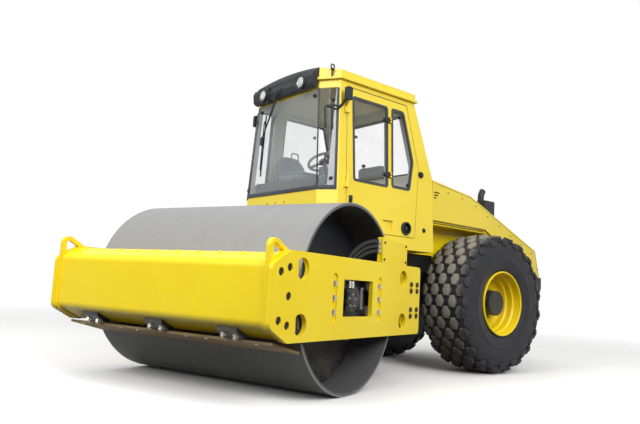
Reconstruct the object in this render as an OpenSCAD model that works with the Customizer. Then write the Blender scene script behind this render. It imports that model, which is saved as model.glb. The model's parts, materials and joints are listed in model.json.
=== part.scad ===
// Single-drum vibratory soil roller with an enclosed cab, parked with its front half steered to the left.
// Millimetres, +Z up, +X forward along the rear half, +Y to the operator's left.

/* [Layout] */
// Steering pivot to drum axis
pivot_to_drum = 1330; // [1250:5:1600]
// Steering pivot to rear axle
pivot_to_axle = 1630; // [1500:5:1800]
// Angle the front half is steered to the left as parked
steer_deg = 18; // [0:1:30]

/* [Drum] */
// Drum radius
drum_r = 750; // [620:5:800]
// Drum width
drum_w = 2130; // [1700:10:2300]
// Drum shell thickness
drum_shell_t = 25; // [15:1:45]
// Depth of the open drum end
drum_recess = 330; // [250:5:450]
// Drum head thickness
drum_head_t = 30; // [20:1:50]
// Radius of the drum's stub shafts
drum_shaft_r = 100; // [70:5:130]

/* [Front frame] */
// Gap between the drum's end and a side plate
drum_side_gap = 25; // [15:1:60]
// Side plate thickness
plate_t = 35; // [25:1:50]
// Half the height of a side plate
plate_half_h = 305; // [260:5:340]
// Side plate reach ahead of the drum axis
plate_front = 1126; // [1000:2:1200]
// Side plate reach behind the drum axis
plate_rear = 1170; // [1000:5:1200]
// Skin thickness of the welded beams
beam_skin = 14; // [8:1:25]
// Thickness of the lifting eye plates at the ends of the front beam
eye_plate_t = 40; // [25:1:60]
// Height of the lifting eye's centre over the drum axis
eye_z = 316; // [300:2:340]
// Length of the hose box on the left plate
hose_box_len = 480; // [300:10:600]
// Height of the hose box
hose_box_h = 215; // [120:5:260]
// Diameter of a drum hose
hose_d = 32; // [20:1:40]

/* [Wheels] */
// Tyre radius over its lugs
tyre_r = 755; // [650:5:850]
// Tyre width
tyre_w = 587; // [450:1:640]
// Track, middle to middle of the tyres
track = 1568; // [1400:4:1700]
// Radius of the rim's flange
rim_r = 360; // [300:5:400]
// Radius of the hub's drum
hub_r = 135; // [110:5:160]
// Radius of the axle spindle that the hub turns on
spindle_r = 75; // [50:1:90]

/* [Rear frame] */
// Half the width over the frame's side rails
rail_half_w = 300; // [290:5:340]
// Thickness of a side rail
rail_t = 30; // [20:1:45]
// Radius of the steering pivot pin
pivot_pin_r = 60; // [45:1:75]
// Height of the steering and oscillation centre
pivot_z = 750; // [700:5:800]
// Room between a steering cylinder and the side rail
cylinder_room = 28; // [20:1:60]

/* [Cab] */
// Underside of the cab's skirt
skirt_z = 1240; // [1180:5:1300]
// Cab floor height
floor_z = 1500; // [1450:5:1540]
// Windscreen sill height
sill_z = 1726; // [1650:2:1800]
// Underside of the roof
roof_z = 2800; // [2600:10:2900]
// Half the width of the windscreen at its sill
screen_half_w = 583; // [480:1:640]
// Half the width over the cab's sides at the sill
side_half_w = 766; // [700:2:790]
// Windscreen face ahead of the pivot, at the sill
screen_x = 682; // [600:2:700]
// Cab's rear wall behind the pivot
cab_rear = 750; // [700:5:780]
// Thickness of the cab's walls and door
wall_t = 55; // [35:1:70]
// Thickness of the window glass
glass_t = 8; // [5:0.5:12]
// Gap around the door
door_gap = 6; // [5:0.5:12]
// Rise of the roof over its underside
roof_h = 140; // [100:5:180]

/* [Hood] */
// Half the width of the hood at the cab
hood_half_w = 720; // [640:5:740]
// Half the width of the hood at its tail
hood_tail_half_w = 600; // [520:5:700]
// Hood's tail behind the pivot
hood_tail = 3075; // [2900:5:3150]
// Thickness of the hood's shell
hood_t = 12; // [6:1:20]
// Gap between the hood and the cab
hood_gap = 45; // [30:1:80]

/* [Hidden] */

$fn = 64;
far = 4000;
run_gap = 0.3;
pin_gap = 0.1;
yellow = "#f0d228";
black = "#26272b";

// Front half, in its own straight frame: drum axis, plate faces and beam
drum_x = pivot_to_drum;
drum_z = drum_r;
plate_in = drum_w/2 + drum_side_gap;
plate_out = plate_in + plate_t;
beam_end = plate_in - eye_plate_t;
head_y = drum_w/2 - drum_recess;
beam_step = 12;
beam_front = plate_front - 2*beam_step;
beam_back = drum_r + 50;
beam_top_front = 218;
beam_top_back = [plate_front - 196, 290];
beam_low_front = -195;
beam_low_back = [plate_front - 226, -296];
eye_r = 58;
eye_hole_r = 26;
eye_x = beam_front + beam_step - eye_r;
cross_front = pivot_to_drum - drum_r - 100;
cross_back = 170;
cross_half_h = 240;
bearing_r = 90;
housing_r = 150;
carrier_r = 330;
carrier_t = 30;
carrier_gap = 60;
cup_r = 150;
buffer_r = 52;
buffer_at = [25, 125, 155, 205, 235, 335];
port_x = 150;
port_pitch = 44;
port_z = 135;
port_block = [35, 75];
window_w = 460;
window_h = 280;
hose_box_d = plate_out - drum_w/2 - 12;
hose_box_x = drum_x - 380;

// Rear half
axle_x = -pivot_to_axle;
axle_z = tyre_r;
wheel_y = track/2;
rim_w = 526;
tyre_in_y = wheel_y - tyre_w/2;
axle_tube_r = 120;
axle_flange_y = wheel_y - 90;
rail_top = 1060;
rail_low = axle_z + axle_tube_r + 20;
nose_x = -260;
lug_t = 50;
lug_gap = 10;
lug_r = 115;
barrel_r = 52;
eye_out_r = 48;
steer_arm = rail_half_w - rail_t - cylinder_room - barrel_r;
yoke_half = steer_arm - eye_out_r - 22;
yoke_half_h = 205;
cylinder_z = pivot_z - yoke_half_h + 60;
rod_r = 28;
eye_h = 66;
barrel_x = -760;
barrel_len = 470;
arm_t = 30;
cab_mount_x = [-345, -620];
floor_t = 30;

// Cab walls lean in towards the roof; every outline is a function of height
side_lean = 0.0609;
screen_lean = 0.018;
width_lean = 0.0729;
corner_slope = tan(30);
knee_z = 2015;
rear_lean = 0.3585;
function side_y(z) = side_half_w - (z - sill_z)*side_lean;
function screen_half(z) = screen_half_w - (z - sill_z)*width_lean;
function front_x(z) = screen_x - (z - sill_z)*screen_lean;
function corner_x(z) = front_x(z) - (side_y(z) - screen_half(z))*corner_slope;
function rear_x(z) = -cab_rear + max(0, z - knee_z)*rear_lean;
header_z = roof_z - 80;
header_t = 30;
roof_lip = 28;
roof_lip_t = 26;
visor_half = screen_half(header_z);

// Door: outline in side view, its edges moved out by g
door_front = 470;
door_top = roof_z - 60;
door_low = 1369;
pillar_x = door_front + 2*door_gap + 30;
door_lift = 0.7;
function door_outline(g) = let (top = door_top + g*(1 + door_lift)) [[door_front + g, top],
    [door_front + g, 1600 - g], [60 + g, door_low - g], [-460 - g, door_low - g], [-529 - g, 2095],
        [-352 - g, top]];
front_pane = [[405, 2665], [-80, 2665], [-80, 1840], [385, 1840]];
rear_pane = [[-130, 2665], [-315, 2665], [-450, 2160], [-395, 1850], [-130, 1850]];
pane_r = 30;
hinge_z = [1760, 2480];
hinge_mid = 2000;
hinge_out = 20;
hinge_w = 36;
knuckle_r = 14;
knuckle_h = 60;

// Hood: crease outline in side view
hood_front = -cab_rear - hood_gap;
crest_x = -1500;
break_x = -hood_tail + 115;
crease = [[hood_front, 2024], [crest_x, 1950], [break_x, 1440], [-hood_tail, 1118]];
deck_rise = 65;
deck_inset = 150;
arch_z = 1598;
arch_x = axle_x - 181;
hood_low = 1103;
arch_tail = [-hood_tail + 183, hood_low];
tail_slots = [1180, 1230, 1280, 1330, 1380];
tail_slot_half = 330;
tail_slot_h = 20;
louvre_z = [1832, 1862, 1892];
louvre_len = 95;
louvre_h = 13;
fender_y = tyre_in_y - 30;
fender_t = 12;
function hood_half(x) = hood_half_w + (x - hood_front)/(-hood_tail - hood_front)
    *(hood_tail_half_w - hood_half_w);

// Bumper closes the tail under the hood
bumper_low = 876;
bumper_top = hood_low - run_gap;
bumper_back = -hood_tail - 65;

// The origin is the middle of the parked machine's box, on the ground
function steered(p) = [p[0]*cos(steer_deg) - p[1]*sin(steer_deg), p[0]*sin(steer_deg) + p[1]*cos(steer_deg)];
front_tip = steered([drum_x + plate_front, -plate_out]);
front_left = steered([drum_x + plate_front, plate_out]);
origin_x = (front_tip[0] + bumper_back)/2;
origin_y = (front_left[1] - wheel_y - tyre_w/2)/2;

// Outline of points with its corners rounded by short arcs; the corners are convex
corner_steps = 6;
function unit(v) = v/norm(v);
function arc_at(a, b, c, r) =
    let (u = unit(a - b), v = unit(c - b), half = acos(u*v)/2, sweep = 180 - 2*half,
         centre = b + unit(u + v)*r/sin(half), from = b + u*r/tan(half) - centre,
             to = b + v*r/tan(half) - centre)
    [for (k = [0:corner_steps]) let (t = k/corner_steps*sweep)
        centre + (from*sin(sweep - t) + to*sin(t))/sin(sweep)];
function corner_r(r, i) = is_list(r) ? r[i] : r;
module rounded(pts, r) {
    n = len(pts);
    polygon([for (i = [0:n - 1]) each arc_at(pts[(i + n - 1) % n], pts[i], pts[(i + 1) % n],
        corner_r(r, i))]);
}
// Flat-faced solid round a set of corner points
module solid_of(pts) {
    hull() polyhedron(pts, [[for (i = [0:len(pts) - 1]) i]]);
}
// Side-view outline, drawn in X and Z, given a thickness along Y
module side_view(y0, y1) {
    translate([0, y1, 0]) rotate([90, 0, 0]) linear_extrude(y1 - y0) children();
}
// Cylinder along Y between two faces
module y_rod(r, y0, y1) {
    translate([0, y1, 0]) rotate([90, 0, 0]) cylinder(r = r, h = y1 - y0);
}
// Cylinder along X between two faces
module x_rod(r, x0, x1, fn = $fn) {
    translate([x0, 0, 0]) rotate([0, 90, 0]) cylinder(r = r, h = x1 - x0, $fn = fn);
}
module box(low, high) {
    translate(low) cube(high - low);
}
// A left-hand piece or its right-hand twin
module on_side(s) {
    mirror([0, s < 0 ? 1 : 0, 0]) children();
}
// Rear half in its place
module rear_half() {
    translate([-origin_x, -origin_y, 0]) children();
}
// Front half, turned about the steering pivot
module front_half() {
    rear_half() rotate([0, 0, steer_deg]) children();
}

// Rear frame: two side rails, cross plates and the pivot's lugs
module rail_outline() {
    polygon([[nose_x, pivot_z - 290], [nose_x, pivot_z + 290], [-700, rail_top], [-hood_tail + 60, rail_top],
             [-hood_tail + 60, rail_low + 20], [axle_x - 260, rail_low], [axle_x + 260, rail_low],
                 [-800, 560]]);
}
module pivot_lug(z) {
    translate([0, 0, z]) linear_extrude(lug_t) difference() {
        union() {
            circle(lug_r);
            polygon([[0, lug_r], [0, -lug_r], [nose_x, -rail_half_w], [nose_x - 40, -rail_half_w],
                     [nose_x - 40, rail_half_w], [nose_x, rail_half_w]]);
        }
        circle(pivot_pin_r + pin_gap);
    }
}
module rear_frame() {
    lug_low = pivot_z - yoke_half_h - lug_gap - lug_t;
    lug_high = pivot_z + yoke_half_h + lug_gap;
    color(black) rear_half() {
        difference() {
            union() {
                for (s = [-1, 1])
                    on_side(s) side_view(rail_half_w - rail_t, rail_half_w) rail_outline();
                pivot_lug(lug_low);
                pivot_lug(lug_high);
                box([nose_x - 40, -rail_half_w, lug_low], [nose_x, rail_half_w, lug_high + lug_t]);
                box([-1180, -rail_half_w, rail_low - 120], [-1150, rail_half_w, rail_top]);
                box([-hood_tail + 60, -rail_half_w, rail_low + 20], [-hood_tail + 100, rail_half_w,
                    rail_top]);
                for (s = [-1, 1])
                    on_side(s) box([barrel_x - 70, steer_arm - 60, cylinder_z - 90],
                                   [barrel_x + 22, rail_half_w - rail_t, cylinder_z - eye_h/2 - run_gap]);
                for (s = [-1, 1], x = cab_mount_x)
                    on_side(s) box([x - 45, rail_half_w - 90, rail_top - 60], [x + 45, rail_half_w,
                        floor_z - floor_t]);
            }
            for (s = [-1, 1])
                on_side(s) box([nose_x - 50, steer_arm - 90, cylinder_z - 85], [nose_x + 10,
                    rail_half_w - 20, cylinder_z + 85]);
        }
    }
}

// Rear axle: housing, spring pads, wheel-end flanges and spindles
module rear_axle() {
    color(black) rear_half() translate([axle_x, 0, axle_z]) {
        y_rod(axle_tube_r, -tyre_in_y + 40, tyre_in_y - 40);
        y_rod(axle_tube_r + 90, -140, 140);
        for (s = [-1, 1]) on_side(s) {
            y_rod(axle_tube_r - 20, tyre_in_y - 40, axle_flange_y);
            y_rod(spindle_r, axle_flange_y, wheel_y + 120);
            box([-110, rail_half_w - 90, 60], [110, rail_half_w + 20, rail_low - axle_z]);
        }
    }
}

module engine_block() {
    engine_front = -1350;
    engine_half = 330;
    engine_top = 1420;
    color("#55585c") rear_half()
        box([break_x + 210, -engine_half, rail_top], [engine_front, engine_half, engine_top]);
}

// Rear bumper: cast counterweight with sloped lower corners
module bumper_outline() {
    rounded([[bumper_back, bumper_top], [-hood_tail + 60, bumper_top], [-hood_tail + 60, bumper_low],
             [bumper_back + 45, bumper_low], [bumper_back, bumper_low + 90]], 12);
}
module rear_bumper() {
    color(black) rear_half() side_view(-hood_tail_half_w + 10, hood_tail_half_w - 10) bumper_outline();
}

// Fender: inner wall beside the tyre and a deck under the hood's overhang
module fender(s) {
    deck_room = 20;
    shelf_x = hood_front - 420;
    color(yellow) rear_half() on_side(s) {
        side_view(fender_y - fender_t, fender_y)
            polygon([[hood_front, skirt_z], [hood_front, arch_z - 30], [arch_x, arch_z - 30],
                     arch_tail + [40, -30], [arch_tail[0] + 40, rail_top - fender_t],
                     [shelf_x, rail_top - fender_t], [shelf_x + 100, skirt_z]]);
        side_view(rail_half_w, fender_y - fender_t)
            polygon([[shelf_x, rail_top], [arch_tail[0] + 40, rail_top],
                     [arch_tail[0] + 40, rail_top - fender_t], [shelf_x, rail_top - fender_t]]);
        intersection() {
            side_view(fender_y, hood_half_w)
                polygon([[hood_front, arch_z - 30], [arch_x, arch_z - 30], arch_tail + [40, -30],
                         arch_tail + [40, -30 - 2*fender_t], [arch_x, arch_z - 30 - fender_t],
                         [hood_front, arch_z - 30 - fender_t]]);
            linear_extrude(far) polygon([[hood_front, 0], [hood_front, hood_half_w - hood_t - deck_room],
                [-hood_tail, hood_tail_half_w - hood_t - deck_room], [-hood_tail, 0]]);
        }
    }
}
module left_fender() { fender(1); }
module right_fender() { fender(-1); }

// Cab body between two heights, its walls moved in by t
function cab_ring(z, t) = [for (s = [-1, 1]) each
    [[front_x(z) - t, s*(screen_half(z) - t*0.58), z], [corner_x(z) - t*0.58, s*(side_y(z) - t), z],
     [rear_x(z) + t, s*(side_y(z) - t), z]]];
module cab_body(z0, z1, t) {
    knee = min(max(knee_z, z0), z1);
    if (z0 < knee) solid_of(concat(cab_ring(z0, t), cab_ring(knee, t)));
    if (knee < z1) solid_of(concat(cab_ring(knee, t), cab_ring(z1, t)));
}
module cab_shell(z0, z1, t) {
    difference() {
        cab_body(z0, z1, 0);
        cab_body(z0 - 10, z1 + 10, t);
    }
}
module skirt_outline() {
    polygon([[-cab_rear - 1, skirt_z], [300, skirt_z], [470, 1369], [600, floor_z], [-cab_rear - 1,
        floor_z]]);
}

// Platform: floor plate with side and rear skirts, open below
module cab_base() {
    color(yellow) rear_half() intersection() {
        difference() {
            cab_body(skirt_z, floor_z, 0);
            cab_body(skirt_z - 10, floor_z - floor_t, wall_t);
            side_view(side_y(floor_z) - wall_t - door_gap, far) rounded(door_outline(door_gap), 25);
        }
        side_view(-far, far) skirt_outline();
    }
}

// Front wall under the windscreen, with the chamfered corners
module cab_front_wall() {
    color(yellow) rear_half() intersection() {
        cab_shell(floor_z, sill_z, wall_t);
        box([pillar_x, -far, floor_z], [far, far, sill_z]);
    }
}

// Side frame: front pillar, header and rear quarter of a cab side
module side_frame(s) {
    intersection() {
        cab_shell(floor_z, roof_z, wall_t);
        on_side(s) union() {
            box([-cab_rear - 1, side_y(roof_z) - wall_t*2, floor_z], [pillar_x, far, roof_z]);
            box([pillar_x, side_y(roof_z) - header_t, sill_z], [corner_x(roof_z) + 60, far, roof_z]);
        }
    }
}
module cab_left_side() {
    color(yellow) rear_half() {
        difference() {
            side_frame(1);
            rear_cut();
            side_view(0, far) rounded(door_outline(door_gap), 25);
        }
        for (z = hinge_z) hinge_leaf(z, 0, hinge_w);
    }
}
// Door hinge leaf: knuckle on the door's axis, with a strap sunk in the panel beside it
module hinge_leaf(z, x0, x1) {
    translate([door_front + door_gap/2, side_y(hinge_mid) + hinge_out,
        hinge_mid]) rotate([atan(side_lean), 0, 0])
        translate([0, 0, z - hinge_mid]) {
            cylinder(r = knuckle_r, h = knuckle_h);
            box([x0, -hinge_out - 3, 0], [x1, -3, knuckle_h]);
        }
}
module cab_right_side() {
    color(yellow) rear_half() difference() {
        side_frame(-1);
        rear_cut();
        side_view(-far, 0) {
            rounded(front_pane, pane_r);
            rounded(rear_pane, pane_r);
        }
    }
}
// Space of the rear wall, between the two side frames
module rear_cut() {
    side_view(-side_y(roof_z) + wall_t*2, side_y(roof_z) - wall_t*2)
        polygon([[-far, floor_z - 10], [0, floor_z - 10], [0, far], [-far, far]]);
}
module cab_rear_wall() {
    color(yellow) rear_half() difference() {
        intersection() {
            cab_shell(floor_z, roof_z, wall_t);
            rear_cut();
        }
        translate([-far/2, 0, 0]) rotate([90, 0, 90]) linear_extrude(far)
            rounded([[-500, 2085], [500, 2085], [500, roof_z - 90], [-500, roof_z - 90]], 60);
    }
}

// Roof: lip, sides and a crown across its width, with a header over the front glass
module roof_plan(grow) {
    ring = cab_ring(roof_z, -grow);
    polygon([for (i = [0, 1, 2, 5, 4, 3]) [ring[i][0], ring[i][1]]]);
}
module cab_roof() {
    crown_r = 3400;
    header_half = side_y(roof_z) - header_t - pin_gap;
    color(yellow) rear_half() {
        translate([0, 0, roof_z]) linear_extrude(roof_lip_t) roof_plan(roof_lip);
        intersection() {
            cab_shell(header_z, roof_z, header_t);
            box([pillar_x, -header_half, header_z], [far, header_half, roof_z]);
        }
        intersection() {
            translate([0, 0, roof_z + roof_lip_t]) linear_extrude(roof_h) roof_plan(8);
            translate([0, 0, roof_z + roof_lip_t + roof_h - crown_r]) x_rod(crown_r, -far, far, 720);
        }
    }
}

// Visor: black moulding over the windscreen with two lamp pods
module visor_outline() {
    translate([front_x(roof_z) + roof_lip, roof_z])
        polygon([[0, -66], [30, -60], [52, -6], [30, 58], [0, 66]]);
}
module pod_outline() {
    translate([front_x(roof_z) + roof_lip, roof_z])
        polygon([[0, -74], [34, -72], [58, -44], [66, 34], [48, 76], [0, 92]]);
}
lamp_r = 55;
lens_r = 120;
lamp_y = visor_half - 185;
pod_in = lamp_y - lamp_r - 22;
lamp_z = roof_z;
lamp_x = front_x(roof_z) + 100;
module roof_visor() {
    color(black) rear_half() difference() {
        union() {
            side_view(-visor_half, visor_half) visor_outline();
            for (s = [-1, 1]) on_side(s) side_view(pod_in, visor_half) pod_outline();
            for (s = [-1, 1]) translate([0, s*lamp_y, lamp_z]) x_rod(lamp_r + 16, front_x(roof_z) + 30,
                lamp_x);
        }
        for (s = [-1, 1]) translate([0, s*lamp_y, lamp_z]) x_rod(lamp_r, lamp_x - 40, lamp_x + 10);
    }
}
module work_lights() {
    color("#dfe3e6") rear_half()
        for (s = [-1, 1]) translate([0, s*lamp_y, lamp_z]) {
            translate([lamp_x - 40, 0, 0]) rotate([0, 90, 0]) rotate_extrude() intersection() {
                square([lamp_r - run_gap, 44]);
                translate([0, 44 - lens_r]) circle(lens_r);
            }
        }
}

// Windows
module windscreen() {
    color("#9fb0b8") rear_half() intersection() {
        cab_shell(sill_z, header_z, glass_t);
        solid_of([for (z = [sill_z, header_z]) each [for (s = [-1, 1]) each
            [[front_x(z) + 50, s*(screen_half(z) - 2), z], [front_x(z) - 60, s*(screen_half(z) - 2), z]]]]);
    }
}
module corner_windows() {
    color("#9fb0b8") rear_half() intersection() {
        cab_shell(sill_z, header_z, glass_t);
        for (s = [-1, 1]) on_side(s)
            solid_of([for (z = [sill_z, header_z]) each
                [[front_x(z) + 50, screen_half(z) + 2, z], [front_x(z) - 60, screen_half(z) + 2, z],
                 [corner_x(roof_z) + 60, side_y(roof_z) - header_t, z], [corner_x(roof_z) + 260,
                     side_y(roof_z) - header_t, z]]]);
    }
}
// Glass of one side, fitted in the cut windows
module side_panes(s, out) {
    intersection() {
        on_side(s) side_view(0, far) {
            rounded(front_pane, pane_r);
            rounded(rear_pane, pane_r);
        }
        difference() {
            cab_body(floor_z, roof_z, out);
            cab_body(floor_z - 10, roof_z + 10, out + glass_t);
        }
    }
}
module right_side_windows() {
    color("#9fb0b8") rear_half() side_panes(-1, 12);
}
module rear_window() {
    color("#9fb0b8") rear_half() intersection() {
        translate([-far/2, 0, 0]) rotate([90, 0, 90]) linear_extrude(far/2)
            rounded([[-500, 2085], [500, 2085], [500, roof_z - 90], [-500, roof_z - 90]], 60);
        difference() {
            cab_body(knee_z, roof_z, 12);
            cab_body(knee_z - 10, roof_z + 10, 12 + glass_t);
        }
    }
}

// Operator's place: swivel seat and steering console, turned to the left together
seat_turn = 90;
seat_at = [270, -200];
seat_foot_r = 190;
seat_foot_h = 60;
cushion_z = floor_z + 400;
seat_lean = 0.16;
back_h = 400;
module operator_place() {
    rear_half() translate([seat_at[0], seat_at[1], 0]) rotate([0, 0, seat_turn]) children();
}
module seat_base() {
    color("#3a3d42") operator_place() {
        translate([0, 0, floor_z + pin_gap]) cylinder(r = seat_foot_r, h = seat_foot_h - pin_gap);
        box([-170, -160, floor_z + seat_foot_h], [170, 160, cushion_z - 40]);
        box([-230, -230, cushion_z - 40], [240, 230, cushion_z]);
        side_view(-180, 180) polygon([[-250, cushion_z - 40], [-230, cushion_z - 40], [-230, cushion_z],
            [-230 - 120*seat_lean, cushion_z + 120], [-250 - 120*seat_lean, cushion_z + 120]]);
    }
}
module seat_cushions() {
    color("#6d737a") operator_place() {
        side_view(-240, 240)
            rounded([[-160, cushion_z + run_gap], [250, cushion_z + run_gap], [250, cushion_z + 110],
                [-160, cushion_z + 110]], 30);
        side_view(-220, 220)
            rounded([[-230 + run_gap, cushion_z + run_gap], [-165, cushion_z + run_gap],
                     [-135 - back_h*seat_lean, cushion_z + back_h], [-230 + run_gap - back_h*seat_lean,
                         cushion_z + back_h]], 25);
    }
}
module steering_console() {
    column = [430, 0, floor_z + pin_gap];
    column_h = 540;
    wheel_r = 165;
    grip_r = 14;
    color("#34373c") operator_place() {
        translate(column) {
            side_view(-70, 70) rounded([[-40, 0], [110, 0], [30, column_h], [-60, column_h]], 12);
            translate([-20, 0, column_h - 20]) rotate([0, -25, 0]) {
                cylinder(r = 24, h = 110);
                translate([0, 0, 96]) {
                    rotate_extrude() translate([wheel_r, 0]) circle(grip_r);
                    for (a = [90, 210, 330]) rotate([0, 0, a]) translate([0, -16, -8]) cube([wheel_r,
                        32, 16]);
                    cylinder(r = 55, h = 26, center = true);
                }
            }
        }
    }
}

// Dash panel on the front wall's top edge
module dash_panel() {
    dash_x = [545, 655];
    dash_y = [-508, 120];
    dash_top = 1880;
    color("#2f3238") rear_half() side_view(dash_y[0], dash_y[1])
        rounded([[dash_x[0], sill_z + pin_gap], [dash_x[0], dash_top], [dash_x[1] - 25, dash_top],
                 [dash_x[1], sill_z + pin_gap]], 10);
}

// Mirrors on bent arms at the front pillars
module mirrors() {
    arm_z = roof_z - 210;
    mirror_arm_r = 11;
    mirror_out = [50, 90];
    arm_y = side_y(arm_z);
    color(black) rear_half() for (s = [-1, 1]) on_side(s) translate([corner_x(arm_z) - 40, arm_y, arm_z]) {
        y_rod(mirror_arm_r, 0.7, mirror_out[0]);
        side_view(mirror_out[0], mirror_out[1]) rounded([[-30, -8], [38, -8], [38, 120], [-30, 120]], 14);
    }
}

// Door: outer wall cut to the door's outline, with two windows and its hinge straps
module left_door() {
    color(yellow) rear_half() {
        intersection() {
            cab_shell(skirt_z, roof_z, wall_t);
            difference() {
                side_view(side_y(roof_z) - 2*wall_t, far) rounded(door_outline(0), 25);
                side_view(0, far) {
                    rounded(front_pane, pane_r);
                    rounded(rear_pane, pane_r);
                }
                translate([handle_x, side_y(handle_z) - 34, handle_z]) y_rod(handle_r, 0, far);
                side_view(side_y(door_recess[0][1]) - recess_deep, far) polygon(door_recess);
            }
        }
        for (z = hinge_z) hinge_leaf(z + knuckle_h + run_gap, -hinge_w, 0);
    }
}
door_recess = [[-4, 1508], [-148, 1509], [-129, 1389]];
recess_deep = 20;
handle_x = -330;
handle_z = 1454;
handle_r = 62;
module left_door_windows() {
    color("#9fb0b8") rear_half() side_panes(1, 12);
}
// Handle cup: a dished round with a pull bar
module door_handle() {
    cup_y = side_y(handle_z) - 34;
    color(black) rear_half() translate([handle_x, cup_y, handle_z]) {
        difference() {
            y_rod(handle_r - run_gap, 0, 30);
            y_rod(handle_r - 12, 8, far);
        }
        box([-12, 8, -handle_r + 14], [18, 26, handle_r - 14]);
    }
}

// Hood: creased shell over the engine, narrowing to its tail
function deck_point(p) = [p[0] + (p[0] < crest_x ? 30 : 0), p[1] + deck_rise*(p[1] - 1200)/800];
function inward(p, t) = p[0] < crest_x ? t : p[0] > hood_front - 10 ? -t : 0;
function hood_points(t) = [for (s = [-1, 1]) each concat(
    [for (p = crease) [p[0] + inward(p, t), s*(hood_half(p[0]) - t), p[1] - t]],
    [for (p = crease) if (p[1] > 1200) let (d = deck_point(p))
        [d[0] + inward(p, t), s*(hood_half(p[0]) - deck_inset - t/2), d[1] - t]],
    [[hood_front - t, s*(hood_half_w - t), 1090], [-hood_tail + t, s*(hood_tail_half_w - t), 1090]])];
module engine_hood() {
    color(yellow) rear_half() difference() {
        solid_of(hood_points(0));
        solid_of(hood_points(hood_t));
        side_view(-far, far)
            polygon([[hood_front + 10, arch_z], [arch_x, arch_z], arch_tail, [-hood_tail - 10, hood_low],
                     [-hood_tail - 10, 0], [hood_front + 10, 0]]);
        for (z = tail_slots)
            box([-hood_tail - 10, -tail_slot_half, z], [break_x + 20, tail_slot_half, z + tail_slot_h]);
        for (z = louvre_z)
            box([hood_front - 25 - louvre_len*(z - 1780)/110, -far, z], [hood_front - 25, far,
                z + louvre_h]);
    }
}

// Exhaust: silencer box on the hood's slope with a bent tail pipe
module exhaust_stack() {
    stack_y = 340;
    low_x = -2280;
    high_x = -2085;
    pipe_r = 39;
    pipe_rise = 40;
    box_top = 2000;
    high = deck_point(crease[1]);
    low = deck_point(crease[2]);
    function deck_z(x) = high[1] + (x - high[0])*(high[1] - low[1])/(high[0] - low[0]);
    color(black) rear_half() translate([0, stack_y, 0]) {
        side_view(-115, 115)
            polygon([[low_x, deck_z(low_x) + run_gap], [high_x, deck_z(high_x) + run_gap], [high_x,
                box_top], [low_x, box_top]]);
        translate([(low_x + high_x)/2 + 30, 0, box_top]) {
            difference() {
                cylinder(r = pipe_r, h = pipe_rise);
                translate([0, 0, 5]) cylinder(r = pipe_r - 5, h = pipe_rise);
            }
            translate([-150, 0, pipe_rise]) rotate([90, 0, 0]) rotate_extrude(angle = 40)
                translate([150, 0]) difference() {
                    circle(pipe_r);
                    circle(pipe_r - 5);
                }
        }
    }
}

// Centre joint: yoke on the steering pin, with the oscillation shaft ahead of it
module centre_joint() {
    color(black) front_half() translate([0, 0, pivot_z]) {
        cylinder(r = yoke_half, h = 2*yoke_half_h, center = true);
        box([0, -yoke_half, -yoke_half_h], [yoke_half, yoke_half, yoke_half_h]);
        cylinder(r = pivot_pin_r, h = 2*(yoke_half_h + lug_gap + lug_t + 15), center = true);
        x_rod(bearing_r + 50, yoke_half, cross_back - 8);
        x_rod(bearing_r, yoke_half, cross_front - 40);
        arm_top = cylinder_z - pivot_z - eye_h/2 - run_gap;
        for (s = [-1, 1]) on_side(s) {
            box([-50, yoke_half - 10, arm_top - arm_t], [50, steer_arm, arm_top]);
            translate([0, steer_arm, arm_top - arm_t]) cylinder(r = 50, h = arm_t);
        }
    }
}

// Side plate with its window, access holes and bolt recesses
module plate_outline() {
    rear_r = 35;
    front_r = 60;
    chamfer = [198, 102];
    rounded([[-plate_rear, -plate_half_h], [-plate_rear, plate_half_h],
             [plate_front - chamfer[0], plate_half_h], [plate_front, plate_half_h - chamfer[1]],
             [plate_front, chamfer[1] - plate_half_h], [plate_front - chamfer[0], -plate_half_h]],
            [rear_r, rear_r, front_r, front_r, front_r, front_r]);
}
module side_plate(s) {
    slot_x = 355;
    slot_half = 150;
    slot_r = 30;
    slot_depth = 14;
    color(yellow) front_half() on_side(s) translate([drum_x, 0, drum_z]) difference() {
        side_view(plate_in, plate_out) difference() {
            plate_outline();
            square([window_w, window_h], center = true);
            for (v = [-1, 1]) {
                translate([787, v*188]) circle(75);
                translate([-805, v*188]) circle(70);
                translate([1033, v*157]) circle(28);
                translate([938, v*190]) circle(28);
            }
            translate([937, 0]) circle(28);
        }
        for (x = [-slot_x, slot_x]) translate([x, 0, 0]) {
            box([-slot_r, plate_out - slot_depth, -slot_half], [slot_r, plate_out + 1, slot_half]);
            for (v = [-1, 1]) translate([0, 0, v*slot_half]) y_rod(slot_r, plate_out - slot_depth,
                plate_out + 1);
        }
    }
}
module left_side_plate() { side_plate(1); }
module right_side_plate() { side_plate(-1); }

// Front beam: bent-plate box between two end plates that carry the lifting eyes
module beam_outline(t) {
    rounded([[beam_back + t, 260 - t], [beam_top_back[0], beam_top_back[1] - t],
             [beam_front - t, beam_top_front - t], [beam_front - t, beam_low_front + t],
             [beam_low_back[0], beam_low_back[1] + t], [beam_back + t, -270 + t]], 60 - t);
}
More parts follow.
